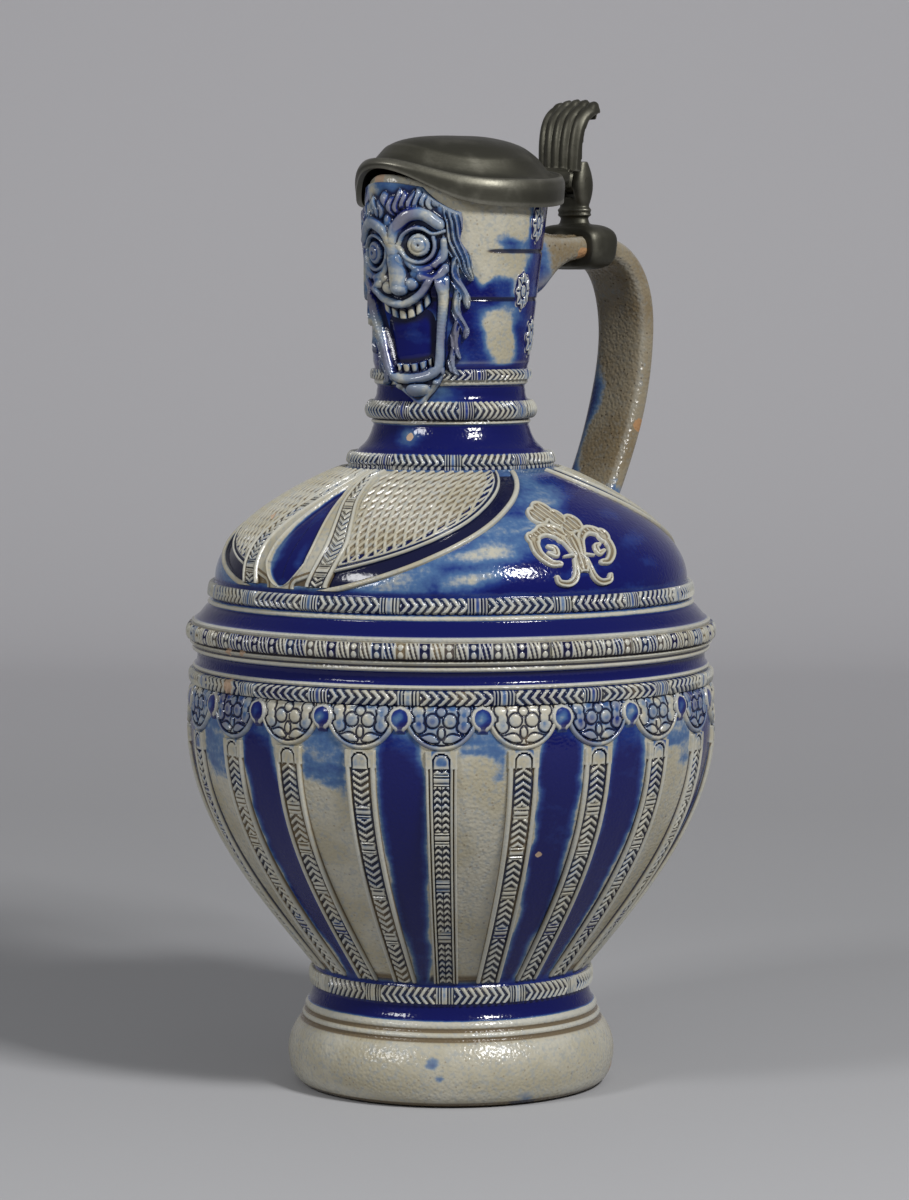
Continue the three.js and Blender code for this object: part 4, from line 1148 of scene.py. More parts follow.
@dataclass
class BellyOrnament:
    """Chevron strips down the belly, half-moons over them and knobs between."""

    tree: RingTree
    panels: Panels
    foot_z: float = 43.2
    top_z: float = 131.4
    top_width: float = 11.6
    foot_width: float = 9.0
    moon_z: float = 144.2
    moon_radius: float = 12.7

    # Berries and pods of a half-moon: middle at the side and up, half width and half height
    LOBES: ClassVar[Rows] = [
        (2.95, -2.9, 2.2, 2.2), (0, 0.1, 1.6, 1.6), (0, -7.0, 1.05, 1.8), (7.9, 0.3, 2.1, 2.1),
        (7.8, -5.0, 2.4, 2.1), (7.4, -2.4, 1.55, 2.4),
    ]

    def strip(self, draw: int) -> Piece:
        """One strip.

        Args:
            draw: 0 for two rows of chevrons, or else a number that varies its single row.

        Returns:
            The strip, as a tile.
        """
        z, t = sheet((self.foot_z, self.top_z, 200), (-1, 1, 37))
        along = (z - self.foot_z) * 1.17
        width = mix(self.foot_width, self.top_width, (z - self.foot_z) / (self.top_z - self.foot_z))
        side = np.abs(t)
        edge = roll(side - 0.79, 0.17)
        if draw == 0:
            pair = np.abs(side - 0.25) / 0.24
            arrow = stroke(along + pair * 1.4, 2.7, -0.05) * ease(1.0, 0.8, pair)
            edge = np.maximum(roll(side - 0.86, 0.1), 0.9 * roll(side - 0.62, 0.09))
        else:
            slant = 4.6 if draw % 2 else -4.0
            arrow = stroke(along + side * slant, 2.8, -0.05) * ease(0.53, 0.46, side)
        starts = np.cumsum(np.random.default_rng(50 + draw).uniform(15, 25, 6))
        arrow = cross_bars(arrow, along, side, starts, 2.3, 0.35, 0.5)
        height = np.maximum(edge, arrow * 0.8)
        arch = np.hypot(t * width / 2, np.maximum(0, z - self.top_z + 3.9) * 1.1)
        panel = np.maximum(0.75 * ease(2.9, 2.4, arch), np.where(arch > 3.1, 0.9, edge))
        height = np.where(z > self.top_z - 6.5, panel, height)
        out = 0.15 + 1.05 * height - 0.35 * ease(0.9, 1.0, side)
        blue = 0.29 + 0.32 * ripple(along, t * 3, 19, 60 + draw) + 0.2 * ease(116, 129, z)
        blue = np.maximum(blue * ease(0.72, 0.5, side), 0.2 * ease(0.95, 1.0, side))
        relief = high_pass(out, 1.9) * 1.5
        return lay_relief("belly_strip", t * width / 2 / radius_at(z), z, out, relief, blue, 1.0)

    def moon(self, draw: int) -> Piece:
        """A half-moon: a double-lined bowl with berries, two leaves and a lobed pod at each side."""
        half = self.moon_radius + 1.2
        y, x = sheet((-half, 2.2, 52), (-half, half, 86))
        side = np.abs(x)
        away = np.hypot(x, y * 0.99)
        gap = np.full(x.shape, 9.0)
        for middle, up, wide, high in self.LOBES:
            lobe = (np.hypot((side - middle) / wide, (y - up) / high) - 1) * min(wide, high)
            gap = np.minimum(gap, lobe)
        leaf_gap, leaf_share = along_path([(1.4, -9.7), (3.8, -8.9), (7.6, -8.7)], side, y)
        leaf = leaf_gap - 1.5 * np.sin(math.pi * np.clip(leaf_share * 0.85 + 0.12, 0, 1))
        gap = np.minimum(gap, leaf)
        past = away - self.moon_radius
        inside = ease(-1.2, -1.6, past)
        swell = 0.34 * np.sqrt(np.clip(-gap / 1.8, 0, 1)) * inside
        groove = (0.62 * bell(gap - 0.22, 0.3) + 0.12 * ease(0.2, 0.8, gap)) * inside
        edge = 0.7 * bell(past + 1.62, 0.28) + 0.35 * bell(past - 0.1, 0.3)
        ground = ease(0.6, 0.1, past)
        crest = 0.3 * roll(past + 0.8, 0.75)
        out = -0.8 + ground * (1.65 + swell + crest - groove - edge)
        tint = np.random.default_rng(80 + draw).uniform(0.34, 0.52)
        blue = tint + 0.16 * ripple(x, y, 11, 80 + draw)
        relief = np.minimum(1.5 * high_pass(out, 1.9), 0.11) * ground
        # The grooves round the berries and the inner edge line are darkened: painted shade.
        relief = relief - 0.25 * bell(gap - 0.22, 0.25) * inside - 0.3 * bell(past + 1.62, 0.25)
        z = self.moon_z + y
        return lay_relief("moon", x / radius_at(z), z, out, relief, blue, 2.0, -1.8)

    def knob(self) -> Piece:
        """A round knob with a pointed top, on a short neck."""
        y, x = sheet((-10.5, 5.2, 44), (-5.2, 5.2, 31))
        ball = np.hypot(x, y * 0.95) - 3.6
        tip = np.maximum(np.abs(x) * 0.9 + (y - 3.6) * 0.75 - 0.4, -y) - 0.1
        neck = np.maximum(np.abs(x) - mix(1.35, 3.6, ease(-4.5, -10.0, y)), y)
        gap = np.minimum(np.minimum(ball, tip), neck)
        ground = ease(0.75, 0.3, gap)
        line = roll(gap + 0.3, 0.34) * ease(-4.6, -2.6, y)
        swell = 0.3 * roll(np.hypot(x, y), 3.3) + 0.2 * line
        out = -0.8 + ground * (2.0 + swell - 2.2 * ease(-3.4, -7.0, y))
        z = self.moon_z - 2.2 + y
        # The ring round the knob's foot is darkened: painted shade in the crease.
        relief = 1.2 * high_pass(out, 2.0) * ease(0.6, 0.2, gap) - 0.3 * bell(gap - 0.75, 0.3)
        blue = 0.82 - 0.4 * line + 0.2 * ripple(x, y, 6, 90)
        relief = relief * ease(-5.0, -2.8, y)
        return lay_relief("knob", x / radius_at(z), z, out, relief, blue, 2.0, -1.8)

    def build(self, glaze: Material) -> None:
        """Builds the strips, in three arcs, then the half-moons and knobs."""
        count, step, start = self.panels.count, self.panels.step, self.panels.strip_phase
        placing = {"Step": step, "Finish": glaze}
        third = count // 3
        for arc in range(3):
            first = arc * third
            strips = self.tree.run(f"belly_strips_{arc + 1}", [self.strip(k) for k in (1, 2, 3, 0)],
                                   {**placing, "Count": third, "Start": start + first * step, "Kinds": 3,
                                    "Special": -1 if arc else 0, "Tone": 0.12, "Seed": arc + 11})
            nodes = [f"belly_rib_{first + n + 1:02d}" for n in range(third)]
            finish_piece(strips, Body.JUG, glaze, nodes)
        moons = self.tree.run("half_moons", [self.moon(k) for k in range(3)],
                              {**placing, "Count": count, "Start": start, "Tone": 0.22, "Seed": 4})
        nodes = [f"lunette_{n + 1:02d}" for n in range(count)]
        finish_piece(moons, Body.JUG, glaze, nodes)
        knobs = self.tree.run("knobs", [self.knob()],
                              {**placing, "Count": count, "Start": start + step / 2, "Tone": 0.2})
        finish_piece(knobs, Body.JUG, glaze)


@dataclass
class Shoulder:
    """The shoulder's two moulded fields, their chevron strips, and a sprig at each side."""

    foot_z: float = 184.0
    top_z: float = 223.3
    sprig_angle: float = 77 * DEGREE
    sprig_foot: float = 186.5
    sprig_scale: float = 0.788
    rear_spread: float = 8.5
    skirt: float = 4.9
    margin: float = 4.9

    FLUTE: ClassVar[Rows] = [
        (184.5, 6), (186.4, 10), (188.4, 16.5), (191.5, 24.5), (195, 32), (199.3, 39.7), (204.9, 48.6),
        (212.5, 59), (219.4, 68), (225, 74),
    ]
    BOW: ClassVar[Rows] = [
        (3.8, 1), (8.5, 1), (14.5, 0.95), (18.5, 0.7), (18.5, 0.5), (16.5, 0.35),
    ]
    # Round ends of a sprig's leaf, bud and scrolls: middle at the side and up, and radius
    ROUNDS: ClassVar[Rows] = [
        (-7.6, 28.2, 3.7), (-4.2, 30.0, 4.1), (-1.0, 27.0, 3.9), (4.4, 24.6, 3.9), (1.4, 23.4, 3.2),
        (14.6, 19.2, 3.1), (-14.8, 19.2, 2.7),
    ]

    def flute_angle(self, z: Array) -> Array:
        """Angle in degrees of the middle of the curved flute at a height."""
        return through(self.FLUTE, np.asarray(z, float))

    def from_flute(self, angle: Array, z: Array) -> Array:
        """Distance from the curved flute's middle, below 0 inside it.

        Args:
            angle: Angles from the field's middle.
            z: Heights.

        Returns:
            The distances.
        """
        bend = np.linspace(self.FLUTE[0][0], SHOULDER_TOP, 150)
        path = on_vessel(self.flute_angle(bend) * DEGREE, bend, np.zeros_like(bend), 1.5)
        place = on_vessel(angle, z, np.zeros_like(angle), 1.5)
        gap = np.full(z.shape, FAR)
        for point in path:
            gap = np.minimum(gap, ((place - point) ** 2).sum(-1))
        return np.sqrt(gap) * np.where(angle / DEGREE > self.flute_angle(z), 1, -1)

    def border(self, z: Array) -> Array:
        """Angle of the sunk outer edge of a field at each height."""
        high, fan = np.meshgrid(z, np.linspace(0, 80, 321) * DEGREE, indexing="ij")
        edge = np.where(self.from_flute(fan, high) < self.skirt, fan, 0).max(1)
        return soften(edge, 3, 0)

    def strip_side(self, z: Array, rear: bool) -> Array:
        """Distance in millimetres of the middle of a chevron strip from the middle of its field."""
        spread = self.rear_spread if rear else 0.0
        knots = [(220.5 - 6.92 * i, side + share * spread) for i, (side, share) in enumerate(self.BOW)]
        return through(knots[::-1], np.asarray(z, float))

    def field(self, name: str, middle: float, hand: int, rear: bool) -> Piece:
        """Half a field: half of a blue teardrop, a diamond lattice, and a dark curved flute round them.

        Args:
            name: The piece's name.
            middle: Angle of the field's middle.
            hand: 1 for the half at its right, -1 for the other.
            rear: Whether the handle stands on it.

        Returns:
            The piece.
        """
        rows = np.linspace(self.foot_z, self.top_z, 168)
        columns = np.append([-0.012, -0.008, -0.004], np.linspace(0, 1, 300))
        z, share = np.meshgrid(rows, columns, indexing="ij")
        a = share * self.border(rows)[:, None]
        from_flute = self.from_flute(np.abs(a), z)
        side = np.abs(a) * radius_at(z)
        strip = self.strip_side(z, rear)
        inner = side - strip
        up = (z - self.foot_z) * 1.32
        lines = [np.cos(FULL_TURN * (side / 3.4 + turn * up / 6.4)) for turn in (1, -1)]
        lattice = ease(0.2, 0.8, np.maximum(*lines))
        panel = (inner > self.margin) & (from_flute < -self.margin)
        gutter = (from_flute > -4.4) & (from_flute < -3.6)
        groove = ease(2.75, 2.15, np.abs(from_flute))
        thin = np.maximum(roll(from_flute + 3.1, 0.5), 0.8 * roll(from_flute + self.margin, 0.5))
        outline = roll(from_flute - 3.55, 0.95)
        drop_half = mix(1.2, 9.4, ease(222, 196, z)) * np.sqrt(np.clip((z - 184.8) / 8, 0, 1))
        drop_half = np.minimum(drop_half, np.maximum(0.5, strip - self.margin))
        from_drop = side - drop_half
        drop_edge = roll(from_drop - 0.1, 0.6) * (z > 184.8)
        drop = ease(0.0, -1.8, from_drop) * (z > 184.8)
        height = np.where(panel, 0.95 * lattice, 0.5)
        height = np.where(gutter, 0.0, height)
        height = np.where((inner > 4.4) & (from_flute < -2.6), np.maximum(height, thin), height)
        height = np.where(np.abs(inner - 4.4) < 0.5, 0.15, height)
        under_strip = np.where(side < strip - 3.8, 0.4, 0.2)
        height = np.where((inner < 3.9) & (from_flute < -2.6), under_strip, height)
        height = np.maximum(height, np.maximum(drop_edge * (from_flute < -3.5), outline))
        out = 0.25 + 0.8 * height - 1.35 * groove - 1.1 * drop * (from_flute < -3)
        tuck = ease(4.1, self.skirt, from_flute)
        out = mix(out, -0.8, tuck) - 60 * np.maximum(0, -0.004 - share)
        notch = panel & (from_flute > -7.2) & (lattice < 0.3)
        blue = 0.005 + 0.08 * np.clip(ripple(side * 0.6, z, 19, 21), 0, 1)
        blue = np.where(notch, 0.9, blue)
        blue = np.where(from_flute > -4.5, np.maximum(1.25 * groove, 0.6 * (from_flute < -3.5)), blue)
        watery = 0.45 * ease(0.45, 0.9, side / np.maximum(drop_half, 0.5)) * (hand < 0) * ease(212, 200, z)
        blue = np.maximum(blue, drop * (1.0 - watery + 0.15 * ripple(side, z, 9, 23)))
        blue = np.where((side < strip - 4.4) & (from_drop > 0.4), 0.02, blue)
        relief = np.clip(high_pass(out, 2.2), -0.5, 0.35) * (0.55 + 0.45 * (from_flute > -self.margin))
        # The flute and the gutter are darkened beyond their relief: painted shade in them.
        relief = (relief - 0.3 * groove - 0.25 * gutter) * (1 - tuck)
        if hand < 0:
            a, z, out, relief, blue = (value[:, ::-1] for value in (-a, z, out, relief, blue))
        return lay_relief(name, a + middle, z, out, relief, blue, 1.5, -2.4, 12)

    def strip(self, name: str, middle: float, hand: int, rear: bool) -> Piece:
        """A chevron strip between two plain ridges, bowed outwards.

        Args:
            name: Its name.
            middle: Angle of its field's middle.
            hand: 1 at the right of the field, -1 at the left.
            rear: Whether the handle stands on the field.

        Returns:
            The strip.
        """
        z, t = sheet((self.sprig_foot - 1.5, self.top_z, 130), (-1, 1, 37))
        share = (self.top_z - z) / (self.top_z - self.sprig_foot)
        width = mix(0.5, 1, np.clip(share * 1.6, 0, 1)) * 9.2
        side = np.abs(t)
        along = (z - self.foot_z) * 1.35
        edge = roll(side - 0.8, 0.19)
        arrow = stroke(along - side * 3.6, 2.3, -0.05) * ease(0.52, 0.46, side)
        arrow = cross_bars(arrow, along, side, (9.0, 38.0), 2.4, 0.4, 0.52)
        out = 0.35 + 1.05 * np.maximum(edge, 0.8 * arrow)
        blue = (0.34 + 0.3 * ripple(along, t, 12, 9 + hand)) * ease(0.7, 0.52, side)
        angle = middle + (hand * self.strip_side(z, rear) + t * width / 2) / radius_at(z)
        return lay_relief(name, angle, z, out, high_pass(out, 1.9) * 1.4, blue, 1.5, -0.9)

    def sprig(self, name: str, hand: int) -> Piece:
        """A sprig: bound stems with curled feet, a scroll at each side, a leaf and a leaning bud.

        Args:
            name: Its name.
            hand: 1 on the side of +X, -1 on the other.

        Returns:
            The sprig.
        """
        up, side = sheet((-2.0, 34.5, 170), (-18.8, 18.8, 176))
        x = np.abs(side)
        gap = np.full(side.shape, 9.0)
        scroll = [(1.6, 12), (4, 18.6), (9, 21.8), (14.2, 19.6), (15.4, 13.6), (12.2, 9.2), (8.8, 8.6)]
        paths = [(scroll, 2.0, x),
                 ([(11.6, 13.2), (9.0, 12.4), (8.6, 15.0), (10.8, 15.8)], 1.3, x),
                 ([(11.2, 3.2), (10.2, 0.9), (6.4, 0.5), (3.6, 3.4), (2.4, 10)], 1.55, x),
                 ([(0, 5.6), (0, 12)], 3.1, x), ([(0, 13), (-0.4, 18), (-0.8, 22)], 3.0, side),
                 ([(-6.2, 11.6), (0, 12.3), (6.2, 11.6)], 0.8, side),
                 ([(-1.5, 19.6), (-5.2, 22.4), (-9.4, 22.6), (-12.2, 21.4)], 2.3, side),
                 ([(-3.6, 19.6), (-5.4, 18.4), (-3.8, 17.2)], 0.8, side)]
        for path, half, across in paths:
            near, share = along_path(path, across, up)
            gap = np.minimum(gap, near - half * (0.62 + 0.38 * np.sin(math.pi * share)))
        for centre, top, size in self.ROUNDS:
            gap = np.minimum(gap, np.hypot(side - centre, up - top) - size)
        gap = np.maximum(gap, 2.3 - np.hypot(x, (up - 3.0) * 1.2))
        body = ease(0.3, -0.3, gap)
        rim = roll(gap + 0.55, 0.55)
        inside = ease(-1.1, -1.5, gap)
        veins = inside * stroke(side * 0.9 + (up - 26) * 0.5, 2.1, -0.5) * (up > 20)
        ribs = inside * stroke(x, 1.9, -0.3) * (up < 19) * (x < 4)
        out = -0.8 + 1.75 * body + 0.32 * rim - 0.22 * inside + 0.28 * np.maximum(veins, ribs)
        relief = (high_pass(out, 1.6) * 1.3 - 0.05 * inside) * body
        blue = 0.02 + 0.25 * ease(0.0, 0.4, gap)
        z = self.sprig_foot + up * self.sprig_scale
        turn = hand * self.sprig_angle + side / radius_at(z)
        return lay_relief(name, turn, z, out, relief, blue, 1.5, -1.8)

    def build(self, glaze: Material) -> None:
        """Builds the fields, strips and sprigs."""
        for rear, label in ((False, "front"), (True, "rear")):
            middle = math.pi * rear
            for i, (hand, half) in enumerate(((-1, "left"), (1, "right"))):
                field = self.field(f"shoulder_field_{label}_{half}", middle, hand, rear)
                finish_piece(field, Body.JUG, glaze)
                number = 2 * rear + i + 1
                piece = self.strip(f"chevron_strip_{number}", middle, hand, rear)
                finish_piece(piece, Body.JUG, glaze, [f"shoulder_strip_{number}"])
        for hand, label in ((1, "right"), (-1, "left")):
            piece = self.sprig("sprig_" + label, hand)
            finish_piece(piece, Body.JUG, glaze, ["shoulder_sprig_" + label])


@dataclass
class NeckOrnament:
    """Oval rosettes pressed on the back of the neck."""

    width: float = 7.6
    length: float = 13.0
    places: tuple[tuple[float, float], ...] = ((99, 287), (117, 270.5), (-99, 287), (-117, 270.5),
                                               (110, 311), (-110, 311))

    def rosette(self, name: str, angle: float, z: float) -> Piece:
        """A rosette of eight petals round a ringed knob.

        Args:
            name: Its name.
            angle: Angle of its middle.
            z: Height of its middle.

        Returns:
            The rosette.
        """
        up, side = sheet((-8.4, 8.4, 64), (-5.4, 5.4, 46))
        x, y = side / (self.width / 2), up / (self.length / 2)
        away = np.hypot(x, y)
        turn = np.arctan2(x, y)
        petal = 0.92 + 0.08 * np.cos(8 * turn)
        flower = ease(0.03, -0.05, away / petal - 1)
        knob = roll(away, 0.27)
        ring = bell(away - 0.4, 0.08)
        ray = 0.6 * bell(np.abs(np.sin(4 * turn)), 0.28) * ease(0.5, 0.6, away)
        height = flower * np.maximum(0.8 - 0.75 * ring - ray * ease(1.0, 0.9, away), knob)
        out = -0.6 + 0.75 * ease(1.3, 1.12, away / petal) + 1.0 * height
        relief, blue = 1.3 * high_pass(out, 1.9), 0.95 - 0.62 * height
        return lay_relief(name, angle + side / radius_at(z), z + up, out, relief, blue)

    def build(self, glaze: Material) -> None:
        """Builds the rosettes."""
        for number, (turn, z) in enumerate(self.places, 1):
            piece = self.rosette(f"rosette_{number}", turn * DEGREE, z)
            nodes = [f"neck_rosette_{number}"] if number <= 4 else []
            finish_piece(piece, Body.JUG, glaze, nodes)


@dataclass
class Mask:
    """The moulded grotesque on the front of the neck: round eyes, gaping toothed mouth, hanging locks."""

    foot_z: float = 247.0
    height: float = 74.0
    turn: float = 7.5 * DEGREE
    lean: float = 8 * DEGREE
    pivot: float = 54.0
    eye: tuple[float, float, float] = (9.3, 55.0, 4.0)

    # Half the width at each height
    SIDE: ClassVar[Rows] = [
        (-2, 0), (1, 3.2), (4, 6.5), (9, 10.2), (14, 11.2), (22, 12.6), (31, 15.2), (40, 17.8),
        (50, 19.6), (60, 20.4), (66, 21.0), (74, 21.5),
    ]
    # Swellings: middle at the side and up, half width, half height and rise
    LUMPS: ClassVar[Rows] = [
        (0, 40.8, 3.4, 2.6, 4.9), (4.4, 42.0, 3.2, 2.7, 3.2), (0, 4.4, 4.4, 3.0, 3.4),
        (14.6, 40.6, 4.4, 3.6, 2.6), (8.4, 44.4, 5.2, 3.8, 2.2), (0, 63, 2.2, 4, 1.6),
    ]
    # Rolls of flesh: path, half width and rise
    ROLLS: ClassVar[Sequence[tuple]] = [
        ([(0.6, 58.0), (2.6, 62.0), (7.4, 65.2), (12.8, 65.0), (17.8, 61.0)], 2.3, 2.7),
        ([(0.8, 54.5), (1.8, 58.5), (3.6, 61.0)], 1.5, 1.7),
        ([(2.2, 55.8), (4.4, 59.2), (8.2, 61.0), (11.8, 60.4), (15.0, 58.2), (19.6, 58.6)], 0.75, 2.2),
        ([(2.4, 55.4), (3.8, 51.6), (6.6, 49.4), (9.8, 49.0), (13.0, 50.6), (14.8, 53.6), (15.0, 57.0)],
         0.85, 2.1),
        ([(2.6, 51.4), (5.6, 48.0), (10.4, 46.6), (14.6, 48.4), (17.6, 52.0)], 1.5, 1.7),
        ([(8.6, 43.8), (12.6, 42.6), (17.0, 45.6)], 1.9, 2.6),
        ([(13.6, 47.4), (17.2, 50.0), (18.6, 55.0)], 1.6, 2.1),
        ([(0, 35.0), (3.8, 36.2), (7.6, 38.6), (10.6, 42.0)], 1.75, 3.2),
        ([(13.4, 41.0), (14.6, 36.4), (13.0, 29.0), (10.4, 21.0), (9.4, 14.6), (6.6, 10.6), (2.8, 9.2),
         (0, 9.0)], 2.15, 3.2),
        ([(6.8, 6.6), (8.8, 3.8), (7.4, 1.6)], 1.2, 1.6),
        ([(9.8, 10.4), (12.2, 7.6), (11.2, 5.0)], 1.3, 1.6),
    ]
    # Locks of hair: path, half width, rise and number of strands
    LOCKS: ClassVar[Sequence[tuple]] = [
        ([(22.6, 70.0), (23.4, 62.0), (21.0, 54.5), (24.4, 47.0), (25.4, 41.0)], 3.9, 2.4, 4),
        ([(21.4, 48.6), (19.6, 42.0), (22.0, 35.0), (22.2, 31.0)], 2.2, 2.2, 2),
        ([(20.0, 37.4), (17.8, 30.0), (19.6, 23.4), (19.0, 20.6)], 1.8, 2.0, 2),
        ([(17.6, 26.6), (14.9, 19.8), (16.0, 13.6)], 1.6, 1.8, 2),
        ([(14.4, 17.4), (12.8, 11.6), (14.6, 8.2)], 1.4, 1.6, 2),
    ]

    def mouth(self, x: Array, y: Array) -> Array:
        """Below 0 inside the open mouth, above 0 outside, about in millimetres."""
        top = 34.0 + 0.052 * x**2
        low = 11.2 + 0.022 * x**2
        half = mix(7.2, 12.4, np.clip((y - 12) / 26, 0, 1))
        return np.maximum.reduce([y - top, low - y, x - half])

    def teeth(self, x: Array, y: Array) -> Array:
        """Two rows of teeth inside the mouth."""
        upper_edge = 33.6 + 0.05 * x**2
        upper = roll(x % 3.3 - 1.65, 1.45) ** 0.6 * ease(3.9, 3.3, upper_edge - y) * (x < 9.8)
        low_edge = 11.6 + 0.022 * x**2
        lower = roll((x + 1.6) % 3.2 - 1.6, 1.35) ** 0.6 * ease(2.9, 2.3, y - low_edge) * (x < 6.4)
        return np.maximum(upper, lower)

    def flesh(self, x: Array, y: Array) -> Array:
        """The face's swellings and rolls: brow, lids, nose, cheeks, lips, jaw and chin.

        Args:
            x: Distance from the face's middle.
            y: Height over its lower end.

        Returns:
            Their relief.
        """
        long = np.clip((y - 40) / 18, 0, 1)
        nose = mix(4.6, 2.4, long) * roll(x, mix(4.2, 2.3, long)) * ease(38.6, 41.2, y) * ease(62, 56, y)
        total = nose
        for side, up, wide, high, rise in self.LUMPS:
            away = np.hypot((x - side) / wide, (y - up) / high)
            total = np.maximum(total, rise * np.clip(1 - away**2.4, 0, 1) ** 0.6)
        rolls = np.zeros_like(x)
        for path, half, rise in self.ROLLS:
            gap, _ = along_path(path, x, y, 50)
            rolls = np.maximum(rolls, rise * roll(gap, half))
        return 1.1 + np.maximum(total, rolls) + 0.25 * np.minimum(total, rolls)

    def hair(self, x: Array, y: Array) -> tuple[Array, Array]:
        """Curls over the forehead and twisted locks beside the face.

        Args:
            x: Distance from the face's middle.
            y: Height over its lower end.

        Returns:
            The hair's relief, and how deep the grooves of its strands are.
        """
        fringe = roll(y - 68.6 - 0.7 * np.cos(x * 1.05), 2.9) * ease(20.5, 18.5, x)
        total = 2.9 * fringe
        grooves = 0.9 * stroke(x + 0.9 * np.sin((y - 66) * 0.9) + 1.2, 2.3, -0.5) * (total > 0)
        for path, half, rise, strands in self.LOCKS:
            gap, share = along_path(path, x, y)
            width = half * (0.35 + 0.65 * np.sin(math.pi * np.clip(share * 0.8 + 0.2, 0, 1)) ** 0.7)
            signed = gap * np.sign(x - through([(-v, u) for u, v in path], -y))
            here = rise * roll(gap, width) ** 0.8
            strand = stroke(signed + 0.35 * width * np.sin(share * 9), 2 * width / strands, -0.35)
            grooves = np.where(here > total, 0.75 * (1 - strand) * rise / 2, grooves)
            total = np.maximum(total, here)
        return total, grooves

    def build(self, glaze: Material, under_lid: Callable[[Array], Array]) -> None:
        """Builds the mask.

        Args:
            glaze: Its material.
            under_lid: Height of the lid's lower edge at an angle.
        """
        rise, side = sheet((-0.5, self.height, 250), (-29, 29, 196))
        turned = rise - self.pivot
        x = np.abs(side * math.cos(self.lean) + turned * math.sin(self.lean))
        y = self.pivot - side * math.sin(self.lean) + turned * math.cos(self.lean)
        flesh = self.flesh(x, y)
        eye_side, eye_up, size = self.eye
        away = np.hypot(x - eye_side, y - eye_up)
        ball = 0.9 + 2.7 * roll(away, size + 0.6) - 0.5 * bell(away - 2.5, 0.32) - 0.8 * bell(away, 0.55)
        flesh = np.where(away < size, ball, flesh - 0.9 * bell(away - size - 0.35, 0.4))
        tooth = self.teeth(x, y)
        inside = ease(0.4, -0.5, self.mouth(x, y))
        tongue = 1.1 * ease(10.8, 5.4, x) * ease(34, 26, y) * ease(12, 18, y)
        out = mix(flesh, -0.1 + tongue + 1.7 * tooth, inside)
        outline = through(self.SIDE, y) - x
        hair, grooves = self.hair(x, y)
        z = self.foot_z + rise
        bed = np.maximum(29 - radius_at(z), 0)
        sunk = -1.0 - bed
        out = mix(sunk, out, ease(-0.5, 0.9, outline))
        out = np.where(hair > 0.02, np.maximum(out, 0.2 + hair - grooves), out)
        angle = self.turn + side / np.maximum(radius_at(z), 29)
        room = under_lid(angle) - 3.0 - z
        out = np.where(room < 1.2, np.minimum(out, mix(sunk, 1.6, ease(0, 1.2, room))), out)
        tooth = tooth * inside
        pit = inside * (1 - tooth)
        blue = 0.56 + 0.2 * ripple(side, rise, 15, 31) + 0.5 * pit - 0.06 * (away < size) - 0.26 * tooth
        blue = blue - 0.16 * bell(np.hypot(x / 6, (y - 44) / 9), 1.0)
        # The open mouth behind the teeth is darkened: painted shade, on top of the blue pooled there.
        relief = 0.5 * np.clip(high_pass(out, 3.4), -0.9, 0.2) - 0.25 * pit * (1 - tongue / 1.1)
        relief = np.where(pit > 0.5, np.minimum(relief, 0.02), relief)
        piece = lay_relief("mask_relief", angle, z, out, relief, blue, 6.0, -3.2, 12, bed)
        finish_piece(piece, Body.JUG, glaze, ["mask"])


